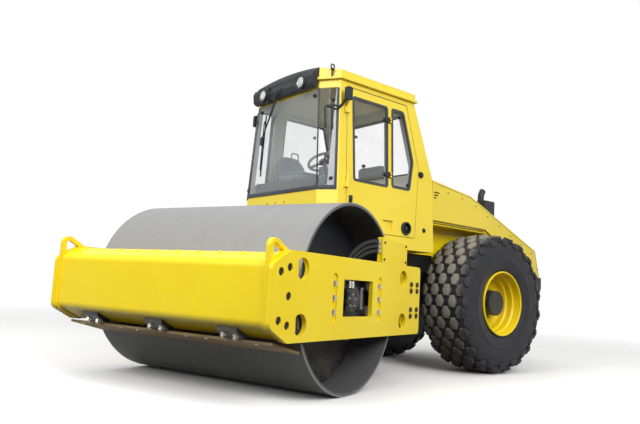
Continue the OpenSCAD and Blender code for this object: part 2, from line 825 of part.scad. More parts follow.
// Eye loop: its back edge slants down from the round top to a foot on the end plate
eye_foot = [beam_top_back[0] - 42, 290];
eye_slant = atan2(eye_z - eye_foot[1], eye_x - eye_foot[0]) + asin(eye_r/norm([eye_x,
    eye_z] - eye_foot)) + 90;
function eye_at(r, a) = [eye_x + r*cos(a), eye_z + r*sin(a)];
eye_sill = [eye_z - 66, eye_z - 18];
eye_hole_back = eye_at(eye_hole_r, eye_slant)[0]
    - (eye_at(eye_hole_r, eye_slant)[1] - eye_sill[1])/tan(eye_slant - 90);
module front_beam() {
    color(yellow) front_half() translate([drum_x, 0, drum_z]) {
        side_view(-beam_end, beam_end) difference() {
            beam_outline(0);
            beam_outline(beam_skin);
        }
        for (s = [-1, 1]) on_side(s) side_view(beam_end, plate_in) difference() {
            union() {
                beam_outline(-beam_step);
                translate([eye_x, eye_z]) circle(eye_r);
                polygon([eye_foot, eye_at(eye_r, eye_slant), eye_at(eye_r, 0), [eye_x + eye_r, 150]]);
            }
            translate([eye_x, eye_z]) circle(eye_hole_r);
            polygon([eye_at(eye_hole_r, eye_slant), eye_at(eye_hole_r, 0), [eye_x + eye_hole_r, eye_sill[0]],
                     [eye_hole_back, eye_sill[1]]]);
        }
    }
}

// Rear cross beam: box tube with the oscillation bearing's housing
module rear_cross_beam() {
    color(yellow) front_half() translate([0, 0, pivot_z]) difference() {
        union() {
            side_view(-plate_in, plate_in) difference() {
                rounded([[cross_back, -cross_half_h], [cross_back, cross_half_h],
                         [cross_front, cross_half_h], [cross_front, -cross_half_h]], 40);
                rounded([[cross_back + beam_skin, beam_skin - cross_half_h], [cross_back + beam_skin,
                    cross_half_h - beam_skin],
                         [cross_front - beam_skin, cross_half_h - beam_skin], [cross_front - beam_skin,
                             beam_skin - cross_half_h]], 26);
            }
            x_rod(housing_r, cross_back, cross_front);
        }
        x_rod(bearing_r + pin_gap, 0, cross_front + 1);
    }
}

// Scraper: blade against the drum, hung from the beam by three brackets
scraper_gap = 8;
scraper_tip_z = -382;
scraper_tip = [sqrt(drum_r*drum_r - scraper_tip_z*scraper_tip_z) + scraper_gap, scraper_tip_z];
scraper_t = 18;
bracket_x = [930, 1050];
bracket_half = 92;
function beam_under(x) = beam_low_front - (beam_front - x)*(beam_low_front - beam_low_back[1])
    /(beam_front - beam_low_back[0]);
scraper_heel = [bracket_x[0] + 40, beam_under(bracket_x[0] + 40) - 45];
function blade_z(x) = scraper_tip[1] + (x - scraper_tip[0])*(scraper_heel[1] - scraper_tip[1])
    /(scraper_heel[0] - scraper_tip[0]);
module front_scraper() {
    across = unit([scraper_heel[1] - scraper_tip[1], scraper_tip[0] - scraper_heel[0]])*scraper_t;
    color("#8d7a45") front_half() translate([drum_x, 0, drum_z]) side_view(-drum_w/2 + 20, drum_w/2 - 20)
        polygon([scraper_tip, scraper_heel, scraper_heel + across, scraper_tip + across]);
}
module scraper_brackets() {
    color(black) front_half() translate([drum_x, 0, drum_z])
        for (y = [-drum_w/3, 0, drum_w/3]) side_view(y - bracket_half, y + bracket_half)
            polygon([[bracket_x[0], beam_under(bracket_x[0]) - pin_gap], [bracket_x[1],
                beam_under(bracket_x[1]) - pin_gap],
                     [bracket_x[1], beam_under(bracket_x[1]) - 30], scraper_heel, [bracket_x[0],
                         blade_z(bracket_x[0])]]);
}

// Drum carriers: bearing cups on discs hung from the side plates by rubber buffers
module drum_carriers() {
    disc_out = plate_in - carrier_gap;
    disc_in = disc_out - carrier_t;
    cup_in = head_y + 20;
    color(black) front_half() translate([drum_x, 0, drum_z]) for (s = [-1, 1]) on_side(s) {
        difference() {
            union() {
                y_rod(carrier_r, disc_in, disc_out);
                y_rod(cup_r, cup_in, disc_in + 5);
            }
            y_rod(drum_shaft_r + pin_gap, cup_in - 1, disc_in);
        }
        for (a = buffer_at)
            rotate([0, -a, 0]) translate([carrier_r - 70, 0, 0]) y_rod(buffer_r, disc_out - 5,
                plate_in - pin_gap);
        y_rod(95, disc_out - 5, plate_in - 8);
        box([port_x - 2*port_pitch - port_block[0], disc_out - 5, port_block[1]],
            [port_x + port_block[0], plate_in - 14, port_z]);
    }
}

// Hose box: cover on the left plate's top edge
module hose_box() {
    color(yellow) front_half() translate([hose_box_x, 0, drum_z + plate_half_h])
        side_view(plate_out - hose_box_d, plate_out)
            rounded([[0, 0], [0, hose_box_h], [-hose_box_len, hose_box_h - 30], [-hose_box_len, 0]], 14);
}

// Drum hoses: three hoses from the box's front into the drum's open end
hose_sides = 10;
hose_pitch = 40;
hose_bow = 0.55;
hose_gap = 1.2;
function bend(p, u) = let (a = 1 - u) a*a*a*p[0] + 3*a*a*u*p[1] + 3*a*u*u*p[2] + u*u*u*p[3];
function bend_dir(p, u) = let (a = 1 - u) unit(a*a*(p[1] - p[0]) + 2*a*u*(p[2] - p[1]) + u*u*(p[3] - p[2]));
module hose(p) {
    rings = 14;
    side = [0, 1, 0];
    points = [for (i = [0:rings]) let (u = i/rings, d = bend_dir(p, u), a = unit(cross(side, d)),
        b = cross(d, a))
        each [for (k = [0:hose_sides - 1]) bend(p,
            u) + hose_d/2*(a*cos(k*360/hose_sides) + b*sin(k*360/hose_sides))]];
    walls = [for (i = [0:rings - 1]) each [for (k = [0:hose_sides - 1]) let (j = (k + 1) % hose_sides)
        [i*hose_sides + k, (i + 1)*hose_sides + k, (i + 1)*hose_sides + j, i*hose_sides + j]]];
    polyhedron(points, concat(walls, [[for (k = [0:hose_sides - 1]) k],
        [for (k = [hose_sides - 1:-1:0]) rings*hose_sides + k]]));
}
module drum_hoses() {
    start_y = plate_out - hose_box_d + hose_d/2 + 2;
    top_z = drum_z + plate_half_h + hose_box_h - 40;
    end_y = plate_in - hose_d/2 - 18;
    color(black) front_half() for (i = [0:2]) {
        a = [hose_box_x + hose_gap, start_y, top_z - i*hose_pitch];
        b = [drum_x + port_x - i*port_pitch, end_y, drum_z + port_z + run_gap];
        hose([a, a + [hose_bow*(b[0] - a[0]), -12, 0], b + [0, 0, hose_bow*(a[2] - b[2])], b]);
    }
}

// Drum: shell and heads with stub shafts
module drum_shell() {
    color("#9a9da0") front_half() translate([drum_x, 0, drum_z]) difference() {
        y_rod(drum_r, -drum_w/2, drum_w/2);
        y_rod(drum_r - drum_shell_t, -far, far);
    }
}
module drum_heads() {
    color(black) front_half() translate([drum_x, 0, drum_z]) for (s = [-1, 1]) on_side(s) {
        y_rod(drum_r - drum_shell_t, head_y - drum_head_t, head_y);
        y_rod(drum_shaft_r, head_y - drum_head_t, plate_in - carrier_gap - carrier_t - 6);
    }
}

// Wheels: tyre, rim and hub turned about the axle
module wheel_place(s) {
    rear_half() translate([axle_x, 0, axle_z]) on_side(s) translate([0, wheel_y, 0]) rotate([-90, 0,
        0]) children();
}
module tyre(s) {
    h = tyre_w/2;
    color(black) wheel_place(s) rotate_extrude() difference() {
        rounded([[rim_r - 15, -h + 45], [rim_r + 120, -h], [tyre_r - 70, -h + 6], [tyre_r, -h + 90],
                 [tyre_r, h - 90], [tyre_r - 70, h - 6], [rim_r + 120, h], [rim_r - 15, h - 45]], 12);
        polygon([[0, -far], [rim_r - 14, -far], [rim_r - 14, -h + 60], [rim_r + 40, -h + 90],
            [rim_r + 40, h - 90],
                 [rim_r - 14, h - 60], [rim_r - 14, far], [0, far]]);
    }
}
module rim(s) {
    half = rim_w/2;
    wall_r = rim_r - 14 - run_gap;
    color(yellow) wheel_place(s) rotate_extrude() {
        polygon([[wall_r, -half], [wall_r, half], [wall_r - 12, half], [wall_r - 18, 188],
            [wall_r - 36, 172],
                 [wall_r - 38, 112], [wall_r - 56, 96], [wall_r - 58, 34], [wall_r - 74, 16],
                     [hub_r + 40, -10],
                 [hub_r - 30, -10], [hub_r - 30, -30], [hub_r + 40, -30], [wall_r - 60, -6],
                     [wall_r - 44, 20],
                 [wall_r - 42, 84], [wall_r - 24, 102], [wall_r - 22, 160], [wall_r - 12, 172],
                     [wall_r - 12, -half]]);
        for (v = [-1, 1]) translate([rim_r - 20, v*half]) circle(11);
    }
}
module hub(s) {
    reach = 190;
    color(black) wheel_place(s) rotate_extrude()
        polygon([[spindle_r + run_gap, -85], [hub_r + 20, -85], [hub_r + 20, -30 - run_gap],
            [hub_r - 30 - run_gap, -30 - run_gap],
                 [hub_r - 30 - run_gap, -10 + run_gap], [hub_r, -10 + run_gap], [hub_r, reach - 12],
                     [hub_r - 12, reach],
                 [0, reach], [0, 126], [spindle_r + run_gap, 126]]);
}
module left_tyre() { tyre(1); }
module left_rim() { rim(1); }
module left_hub() { hub(1); }
module right_tyre() { tyre(-1); }
module right_rim() { rim(-1); }
module right_hub() { hub(-1); }

// Steering cylinders: from the frame's shelf to the yoke's arm, drawn as they stand when parked
function arm_eye(s) = [-s*steer_arm*sin(steer_deg), s*steer_arm*cos(steer_deg)];
function cylinder_base(s) = [barrel_x, s*steer_arm];
function cylinder_dir(s) = unit(arm_eye(s) - cylinder_base(s));
module cylinder_place(s) {
    d = cylinder_dir(s);
    rear_half() translate([barrel_x, s*steer_arm, cylinder_z]) rotate([0, 0, atan2(d[1], d[0])]) children();
}
module barrel(s) {
    color("#2e2f33") cylinder_place(s) difference() {
        union() {
            cylinder(r = eye_out_r, h = eye_h, center = true);
            x_rod(barrel_r, 30, barrel_len);
        }
        x_rod(rod_r + run_gap, 60, barrel_len + 1);
    }
}
module rod(s) {
    reach = norm(arm_eye(s) - cylinder_base(s));
    color("#b9bdc1") cylinder_place(s) {
        x_rod(rod_r, reach - 480, reach - 20);
        translate([reach, 0, 0]) cylinder(r = eye_out_r, h = eye_h, center = true);
    }
}
module left_barrel() { barrel(1); }
module left_rod() { rod(1); }
module right_barrel() { barrel(-1); }
module right_rod() { rod(-1); }

rear_frame();
rear_axle();
engine_block();
rear_bumper();
left_fender();
right_fender();
cab_base();
cab_front_wall();
cab_left_side();
cab_right_side();
cab_rear_wall();
cab_roof();
roof_visor();
work_lights();
windscreen();
corner_windows();
right_side_windows();
rear_window();
seat_base();
seat_cushions();
steering_console();
dash_panel();
mirrors();
left_door();
left_door_windows();
door_handle();
engine_hood();
exhaust_stack();
centre_joint();
left_side_plate();
right_side_plate();
front_beam();
rear_cross_beam();
front_scraper();
scraper_brackets();
drum_carriers();
hose_box();
drum_hoses();
drum_shell();
drum_heads();
left_tyre();
left_rim();
left_hub();
right_tyre();
right_rim();
right_hub();
left_barrel();
left_rod();
right_barrel();
right_rod();
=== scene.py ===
import json
import math
import bpy
import bmesh
from mathutils import Matrix, Vector


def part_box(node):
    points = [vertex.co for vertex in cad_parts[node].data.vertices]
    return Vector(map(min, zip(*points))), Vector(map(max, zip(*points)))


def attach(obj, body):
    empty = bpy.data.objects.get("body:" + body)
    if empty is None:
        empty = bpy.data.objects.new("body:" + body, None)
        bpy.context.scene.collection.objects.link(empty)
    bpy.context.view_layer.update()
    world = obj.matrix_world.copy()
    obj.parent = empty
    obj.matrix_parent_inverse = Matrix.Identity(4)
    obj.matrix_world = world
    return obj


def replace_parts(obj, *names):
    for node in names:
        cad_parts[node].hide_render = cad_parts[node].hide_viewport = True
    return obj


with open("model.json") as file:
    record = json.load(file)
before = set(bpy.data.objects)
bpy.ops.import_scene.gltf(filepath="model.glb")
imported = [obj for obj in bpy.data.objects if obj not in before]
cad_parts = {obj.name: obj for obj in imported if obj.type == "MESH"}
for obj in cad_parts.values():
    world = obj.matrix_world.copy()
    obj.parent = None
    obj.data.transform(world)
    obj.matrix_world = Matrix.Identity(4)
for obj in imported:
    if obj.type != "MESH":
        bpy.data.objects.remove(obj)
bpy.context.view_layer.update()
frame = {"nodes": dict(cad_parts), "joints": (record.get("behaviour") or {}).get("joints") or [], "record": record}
nodes = frame["nodes"]
scene = bpy.context.scene
scene.view_settings.view_transform = "Standard"
joints = {j["name"]: j for j in frame["joints"]}
print("frame loaded with", len(nodes), "nodes")

# the rear half stands along X, the front half is turned about the steering pin
pin = Vector(joints["steering"]["pos_m"])
frontAxis = joints["oscillation"]["axis"]
steerAngle = math.atan2(frontAxis[1], frontAxis[0])
rearPlace = Matrix.Translation((pin.x, pin.y, 0))
frontPlace = rearPlace @ Matrix.Rotation(steerAngle, 4, "Z")
drumPlace = Matrix.Translation(joints["drum_roll"]["pos_m"]) @ Matrix.Rotation(steerAngle, 4, "Z")
mirrorY = Matrix.Diagonal((1, -1, 1, 1))
sides = {"left": 1, "right": -1}


def linkNew(name, data):
    obj = bpy.data.objects.new(name, data)
    scene.collection.objects.link(obj)
    return obj


# camera where the photograph was taken from
cameraSet = {"spot": (4.46982, 4.6733, 0.8195), "yaw": 230.99, "pitch": 6.93, "roll": 3.25, "lens": 34.85}


def makeCamera(s):
    yaw, pitch, roll = (math.radians(s[k]) for k in ("yaw", "pitch", "roll"))
    ahead = Vector((math.cos(yaw)*math.cos(pitch), math.sin(yaw)*math.cos(pitch), math.sin(pitch)))
    right = Vector((math.sin(yaw), -math.cos(yaw), 0))
    up = right.cross(ahead)
    turnedRight = right*math.cos(roll) + up*math.sin(roll)
    turnedUp = up*math.cos(roll) - right*math.sin(roll)
    data = bpy.data.cameras.new("photoCamera")
    data.lens, data.sensor_width, data.clip_end = s["lens"], 36, 200
    turn = Matrix((turnedRight, turnedUp, -ahead)).transposed().to_4x4()
    scene.camera = linkNew("photoCamera", data)
    scene.camera.matrix_world = Matrix.Translation(s["spot"]) @ turn


makeCamera(cameraSet)


# node helpers
def setInputs(tree, n, values):
    for key, value in values.items():
        if hasattr(value, "is_linked"):
            tree.links.new(value, n.inputs[key])
        else:
            n.inputs[key].default_value = value


def addNode(tree, kind, inputs=None, **props):
    n = tree.nodes.new(kind)
    for key, value in props.items():
        setattr(n, key, value)
    setInputs(tree, n, inputs or {})
    return n


def mathNode(tree, operation, a, b=0.0):
    return addNode(tree, "ShaderNodeMath", {0: a, 1: b}, operation=operation).outputs[0]


def vectorNode(tree, operation, a, b=(0, 0, 0)):
    return addNode(tree, "ShaderNodeVectorMath", {0: a, 1: b}, operation=operation).outputs


def mixColour(tree, factor, a, b):
    return addNode(tree, "ShaderNodeMix", {0: factor, 6: a, 7: b}, data_type="RGBA").outputs[2]


def mixValue(tree, factor, a, b):
    return addNode(tree, "ShaderNodeMix", {0: factor, 2: a, 3: b}, data_type="FLOAT").outputs[0]


def rangeNode(tree, value, low, high, toLow=0.0, toHigh=1.0):
    return addNode(tree, "ShaderNodeMapRange", {0: value, 1: low, 2: high, 3: toLow, 4: toHigh}).outputs[0]


def objectPlace(tree):
    return addNode(tree, "ShaderNodeTexCoord").outputs["Object"]


def noise(tree, place, scale, detail, rough=0.5):
    inputs = {"Vector": place, "Scale": scale, "Detail": detail, "Roughness": rough}
    return addNode(tree, "ShaderNodeTexNoise", inputs).outputs[0]


def waves(tree, place, scale, along, distortion=0.0):
    inputs = {"Vector": place, "Scale": scale, "Distortion": distortion}
    return addNode(tree, "ShaderNodeTexWave", inputs, bands_direction=along).outputs[1]


# rays that see a surface directly, in a mirror or through glass
def seenRays(tree):
    path = addNode(tree, "ShaderNodeLightPath").outputs
    mirrored = mathNode(tree, "MAXIMUM", path["Is Glossy Ray"], path["Is Transmission Ray"])
    return mathNode(tree, "MAXIMUM", path["Is Camera Ray"], mirrored)


def newGroup(name, inputs, outputs):
    g = bpy.data.node_groups.new(name, "ShaderNodeTree")
    for label, kind, value in inputs:
        g.interface.new_socket(name=label, in_out="INPUT", socket_type=kind).default_value = value
    for label, kind in outputs:
        g.interface.new_socket(name=label, in_out="OUTPUT", socket_type=kind)
    return g, g.nodes.new("NodeGroupInput").outputs, g.nodes.new("NodeGroupOutput").inputs


def useGroup(tree, group, inputs):
    return addNode(tree, "ShaderNodeGroup", inputs, node_tree=group).outputs


colourSocket, valueSocket, white = "NodeSocketColor", "NodeSocketFloat", (1, 1, 1, 1)


# road dust that gathers low down, with a broken edge
def makeDust():
    g, given, out = newGroup("roadDust", [
        ("Colour", colourSocket, white), ("Dust Colour", colourSocket, (0.42, 0.36, 0.27, 1)),
        ("Roughness", valueSocket, 0.4), ("Amount", valueSocket, 0.4), ("Height", valueSocket, 1.2)],
        [("Colour", colourSocket), ("Roughness", valueSocket)])
    place = objectPlace(g)
    height = addNode(g, "ShaderNodeSeparateXYZ", {0: place}).outputs[2]
    fall = rangeNode(g, height, 0.0, given["Height"], 1.0, 0.0)
    patch = rangeNode(g, noise(g, place, 3.5, 7.0, 0.65), 0.38, 0.68)
    mask = mathNode(g, "MULTIPLY", mathNode(g, "MULTIPLY", fall, patch), given["Amount"])
    g.links.new(mixColour(g, mask, given["Colour"], given["Dust Colour"]), out["Colour"])
    g.links.new(mixValue(g, mask, given["Roughness"], 0.9), out["Roughness"])
    return g


# fine grain for castings, mouldings and the peel of sprayed paint
def makeGrain():
    g, given, out = newGroup("fineGrain", [("Scale", valueSocket, 300.0), ("Detail", valueSocket, 3.0)],
                             [("Height", valueSocket)])
    g.links.new(noise(g, objectPlace(g), given["Scale"], given["Detail"]), out["Height"])
    return g


# slow drift of tone over a panel
def makeDrift():
    g, given, out = newGroup("toneDrift", [
        ("Colour", colourSocket, white), ("Other", colourSocket, white), ("Scale", valueSocket, 1.5)],
        [("Colour", colourSocket), ("Value", valueSocket)])
    patch = rangeNode(g, noise(g, objectPlace(g), given["Scale"], 4.0), 0.35, 0.65)
    g.links.new(mixColour(g, patch, given["Colour"], given["Other"]), out["Colour"])
    g.links.new(patch, out["Value"])
    return g


# edge mask: where the rounded normal leaves the true one, broken up by a scratchy noise; the paler edge it lays is a
# painted highlight on the yellow paint, partly wear and partly painted highlight on the black parts, and wear on the
# blade
def makeWearAndHighlight():
    g, given, out = newGroup("edgeWearAndHighlight", [
        ("Soft Normal", "NodeSocketVector", (0, 0, 1)), ("Amount", valueSocket, 0.3), ("Scale", valueSocket, 45.0)],
        [("Mask", valueSocket)])
    true = addNode(g, "ShaderNodeNewGeometry").outputs["Normal"]
    edge = rangeNode(g, vectorNode(g, "DOT_PRODUCT", given["Soft Normal"], true)["Value"], 0.985, 0.86)
    broken = rangeNode(g, noise(g, objectPlace(g), given["Scale"], 6.0), 0.4, 0.62)
    g.links.new(mathNode(g, "MULTIPLY", mathNode(g, "MULTIPLY", edge, broken), given["Amount"]), out["Mask"])
    return g


# cab walls: how far a point lies inside the leaning outline, for the grey lining
cabForm = {"sill": 1.726, "side": 0.766, "sideLean": 0.0609, "screen": 0.682, "screenLean": 0.018,
           "half": 0.583, "halfLean": 0.0729, "slope": math.tan(math.radians(30)),
           "rear": -0.75, "knee": 2.015, "rearLean": 0.3585, "floor": 1.6}


def makeInside(c):
    g, given, out = newGroup("cabInside", [("Depth", valueSocket, 0.012)], [("Mask", valueSocket)])

    def less(a, b):
        return mathNode(g, "SUBTRACT", a, b)

    def times(a, b):
        return mathNode(g, "MULTIPLY", a, b)

    x, y, z = addNode(g, "ShaderNodeSeparateXYZ", {0: objectPlace(g)}).outputs
    x, y, up = less(x, pin.x), mathNode(g, "ABSOLUTE", less(y, pin.y)), less(z, c["sill"])
    half = less(c["half"], times(up, c["halfLean"]))
    overKnee = mathNode(g, "MAXIMUM", less(z, c["knee"]), 0.0)
    fromFront = less(less(c["screen"], times(up, c["screenLean"])), x)
    nearest = less(less(c["side"], times(up, c["sideLean"])), y)
    for wall in (fromFront, less(less(x, c["rear"]), times(overKnee, c["rearLean"])),
                 less(fromFront, times(less(y, half), c["slope"]))):
        nearest = mathNode(g, "MINIMUM", nearest, wall)
    inside = mathNode(g, "GREATER_THAN", nearest, given["Depth"])
    g.links.new(times(inside, mathNode(g, "GREATER_THAN", z, c["floor"])), out["Mask"])
    return g


dustGroup, grainGroup, driftGroup, wearAndHighlightGroup = makeDust(), makeGrain(), makeDrift(), makeWearAndHighlight()
insideGroup = makeInside(cabForm)


def newFinish(name):
    m = bpy.data.materials.new(name)
    m.use_nodes = True
    return m, m.node_tree, m.node_tree.nodes["Principled BSDF"]


socketNames = {"colour": "Base Color", "roughness": "Roughness", "metallic": "Metallic", "alpha": "Alpha",
               "normal": "Normal", "spec": "Specular IOR Level", "coat": "Coat Weight",
               "coatRough": "Coat Roughness", "sheen": "Sheen Weight", "ior": "IOR"}


def feed(tree, shader, **sockets):
    setInputs(tree, shader, {socketNames[key]: value for key, value in sockets.items()})


def bumpNode(tree, height, strength, distance=0.002, normal=None):
    inputs = {"Height": height, "Strength": strength, "Distance": distance}
    if normal:
        inputs["Normal"] = normal
    return addNode(tree, "ShaderNodeBump", inputs).outputs[0]


def srgb(r, g, b):
    return tuple((v/12.92 if v <= 0.04045 else ((v + 0.055)/1.055)**2.4) for v in (r/255, g/255, b/255)) + (1,)


# one plain finish: a tone, its drift, its dust and its grain; the worn tone laid along the edges, pale yellow unless
# given, is a painted highlight on the paint
coatSet = {"drift": 1.6, "spread": 0.12, "liningDepth": 0.0092, "liningRough": 0.75, "edgeRough": 0.6,
           "coatRough": 0.12}


def coated(name, tone, other, rough, metal=0.0, coat=0.0, grain=260.0, relief=0.08, dust=0.35, dustHeight=1.3,
           soft=0.003, lining=None, wearAndHighlight=0.0, worn=(236, 218, 130), spec=0.5):
    s = coatSet
    m, tree, shader = newFinish(name)
    softNormal = addNode(tree, "ShaderNodeBevel", {"Radius": soft}, samples=4).outputs[0] if soft else None
    tones = useGroup(tree, driftGroup, {"Colour": srgb(*tone), "Other": srgb(*other), "Scale": s["drift"]})
    colour = tones["Colour"]
    roughness = rangeNode(tree, tones["Value"], 0, 1, rough*(1 - s["spread"]), rough*(1 + s["spread"]))
    if lining:
        mask = useGroup(tree, insideGroup, {"Depth": s["liningDepth"]})["Mask"]
        colour = mixColour(tree, mask, colour, srgb(*lining))
        roughness = mixValue(tree, mask, roughness, s["liningRough"])
    # paler edges: a painted highlight on the yellow paint, partly wear and partly painted highlight on the black parts,
    # wear on the blade
    if wearAndHighlight:
        mask = useGroup(tree, wearAndHighlightGroup, {"Soft Normal": softNormal, "Amount": wearAndHighlight})["Mask"]
        colour = mixColour(tree, mask, colour, srgb(*worn))
        roughness = mixValue(tree, mask, roughness, s["edgeRough"])
    dusty = useGroup(tree, dustGroup, {"Colour": colour, "Roughness": roughness, "Amount": dust, "Height": dustHeight})
    height = useGroup(tree, grainGroup, {"Scale": grain})["Height"]
    feed(tree, shader, colour=dusty["Colour"], roughness=dusty["Roughness"], metallic=metal, spec=spec, coat=coat,
         coatRough=s["coatRough"], normal=bumpNode(tree, height, relief, normal=softNormal))
    return m


# the grey edge tone of the black parts is partly wear and partly painted highlight
yellowTone, yellowOther, greyWearAndHighlight = (250, 222, 20), (246, 215, 16), (104, 105, 108)
# the cab and the hood take a paler, slightly darker copy of the frame's yellow: the paleness is a painted reflection
# and the darker tone is painted shade
paleTone, paleOther = (244, 219, 70), (240, 213, 64)
finishes = {
    "yellow_paint": coated("yellowEnamel", yellowTone, yellowOther, 0.4, coat=0.1, spec=0.28, grain=420, relief=0.03,
                           dust=0.16, dustHeight=0.9, wearAndHighlight=0.45),
    "yellow_panel": coated("yellowGelcoat", paleTone, paleOther, 0.36, coat=0.12, spec=0.3, grain=300, relief=0.03,
                           dust=0.14, dustHeight=1.0, soft=0.012, wearAndHighlight=0.25),
    "black_paint": coated("blackEnamel", (42, 43, 48), (36, 37, 42), 0.45, coat=0.05, spec=0.3, grain=380, relief=0.06,
                          dust=0.25, wearAndHighlight=0.5, worn=greyWearAndHighlight),
    "black_casting": coated("blackCasting", (42, 43, 48), (34, 35, 40), 0.55, spec=0.3, grain=150, relief=0.3, dust=0.3,
                            wearAndHighlight=0.4, worn=greyWearAndHighlight),
    "black_plastic": coated("blackMoulding", (36, 38, 44), (31, 33, 39), 0.5, spec=0.3, grain=520, relief=0.25,
                            dust=0.0, soft=0.008),
    "engine_alloy": coated("engineAlloy", (92, 94, 98), (80, 82, 86), 0.5, metal=0.6, grain=120, relief=0.3),
    # the scraper blade takes a darkened yellow, painted shade from the beam above it, with dust and steel showing at
    # its worn edges
    "worn_blade": coated("bladeShadeAndWear", (128, 100, 44), (96, 78, 44), 0.7, grain=60, relief=0.5, dust=0.8, dustHeight=0.9,
                         wearAndHighlight=0.7, worn=(150, 146, 138)),
    "hose_rubber": coated("hoseRubber", (26, 26, 28), (22, 22, 24), 0.6, grain=240, relief=0.15, dust=0.05,
                          soft=0.0, spec=0.25),
    "rod_chrome": coated("rodChrome", (205, 207, 210), (196, 198, 202), 0.14, metal=1.0, grain=80, relief=0.02,
                         dust=0.1),
    "cab_paint": coated("cabEnamel", paleTone, paleOther, 0.4, coat=0.1, spec=0.28, grain=420, relief=0.03, dust=0.06,
                        soft=0.004, lining=(204, 208, 211), wearAndHighlight=0.3),
    "zinc": coated("zincPlate", (196, 194, 184), (168, 166, 158), 0.3, metal=0.9, grain=200, relief=0.1, dust=0.08,
                   soft=0.0),
    "seal": coated("sealRubber", (54, 57, 64), (47, 50, 56), 0.62, grain=300, relief=0.12, dust=0.0, soft=0.0),
    "trim": coated("greyTrim", (126, 133, 138), (116, 123, 129), 0.6, grain=420, relief=0.25, dust=0.0, soft=0.006),
    "frit": coated("glassFrit", (128, 133, 138), (122, 127, 132), 0.22, grain=200, relief=0.0, dust=0.0, soft=0.0),
    "headliner": coated("headlinerFelt", (226, 229, 231), (218, 221, 224), 0.9, grain=700, relief=0.4, dust=0.0,
                        soft=0.004, spec=0.2),
}


# clear safety glass with a faint film of road haze, more mirror-like at a slant
def makeGlass(name, tone, clear, edge):
    m, tree, shader = newFinish(name)
    haze = noise(tree, objectPlace(tree), 4.0, 6.0, 0.6)
    rim = addNode(tree, "ShaderNodeLayerWeight", {"Blend": 0.22}).outputs["Fresnel"]
    film = rangeNode(tree, haze, 0.4, 0.7, 0.0, 0.03)
    feed(tree, shader, colour=srgb(*tone), roughness=rangeNode(tree, haze, 0.3, 0.7, 0.01, 0.05), ior=1.45,
         alpha=mathNode(tree, "ADD", rangeNode(tree, rim, 0.0, 1.0, clear, edge), film))
    return m


finishes["cab_glass"] = makeGlass("cabGlass", (206, 212, 213), 0.02, 0.3)


# rolled steel: fine lines round the drum, a little grime, and painted shade darkening the inside of the shell
drumFinish = {"tone": (147, 147, 147), "other": (138, 138, 138), "grime": (134, 131, 127), "inside": (92, 92, 94),
              "lines": (2.0, 190.0, 2.0), "metal": 0.05, "rough": 0.5, "spec": 0.22, "wall": 0.742}


def makeDrumSteel(s):
    m, tree, shader = newFinish("drumSteel")
    place, unturn = objectPlace(tree), (0, 0, -steerAngle)
    local = addNode(tree, "ShaderNodeMapping", {"Vector": place, "Rotation": unturn}).outputs[0]
    lined = addNode(tree, "ShaderNodeMapping", {"Vector": local, "Scale": s["lines"]}).outputs[0]
    lines, patch = noise(tree, lined, 1.0, 4.0), noise(tree, place, 26.0, 6.0, 0.7)
    colour = mixColour(tree, rangeNode(tree, lines, 0.3, 0.7), srgb(*s["tone"]), srgb(*s["other"]))
    colour = mixColour(tree, rangeNode(tree, patch, 0.5, 0.75, 0.0, 0.3), colour, srgb(*s["grime"]))
    # the inside of the shell is painted darker: painted shade
    fromAxle = vectorNode(tree, "SUBTRACT", place, joints["drum_roll"]["pos_m"])[0]
    fromAxle = addNode(tree, "ShaderNodeMapping", {"Vector": fromAxle, "Rotation": unturn}).outputs[0]
    reach = vectorNode(tree, "LENGTH", vectorNode(tree, "MULTIPLY", fromAxle, (1, 0, 1))[0])["Value"]
    paintedShadeInside = mathNode(tree, "LESS_THAN", reach, s["wall"])
    # mask of the painted shade inside the shell, broken by the patches
    scale = mathNode(tree, "MULTIPLY", paintedShadeInside, rangeNode(tree, patch, 0.3, 0.7, 0.86, 1.0))
    feed(tree, shader, colour=mixColour(tree, scale, colour, srgb(*s["inside"])), metallic=s["metal"], spec=s["spec"],
         roughness=rangeNode(tree, patch, 0.3, 0.7, s["rough"]*0.9, s["rough"]*1.15),
         normal=bumpNode(tree, lines, 0.05, 0.001))
    return m


finishes["drum_steel"] = makeDrumSteel(drumFinish)


# tyre rubber: dust stays on the lug tops, by the piece's own attribute
rubberSet = {"dust": ((150, 145, 134), (110, 106, 97)), "rubber": ((31, 32, 36), (41, 41, 45)), "spec": 0.3}


def makeTyreRubber(s):
    m, tree, shader = newFinish("tyreRubber")
    place = objectPlace(tree)
    top = addNode(tree, "ShaderNodeAttribute", attribute_name="lugDust").outputs["Fac"]
    speck, patch = noise(tree, place, 60.0, 8.0, 0.75), noise(tree, place, 7.0, 3.0)
    tan = mixColour(tree, rangeNode(tree, speck, 0.35, 0.65), *(srgb(*tone) for tone in s["dust"]))
    rubber = mixColour(tree, rangeNode(tree, patch, 0.3, 0.7), *(srgb(*tone) for tone in s["rubber"]))
    worn = mathNode(tree, "MULTIPLY", top, rangeNode(tree, speck, 0.2, 0.45, 0.72, 1.0))
    feed(tree, shader, colour=mixColour(tree, worn, rubber, tan), roughness=rangeNode(tree, worn, 0, 1, 0.6, 0.88),
         spec=s["spec"], normal=bumpNode(tree, speck, 0.25, 0.003))
    return m


finishes["tyre_rubber"] = makeTyreRubber(rubberSet)


# woven seat cloth
clothSet = {"tone": (112, 120, 126), "other": (98, 106, 113), "gap": (84, 90, 96), "threads": 130.0, "sheen": 0.2}


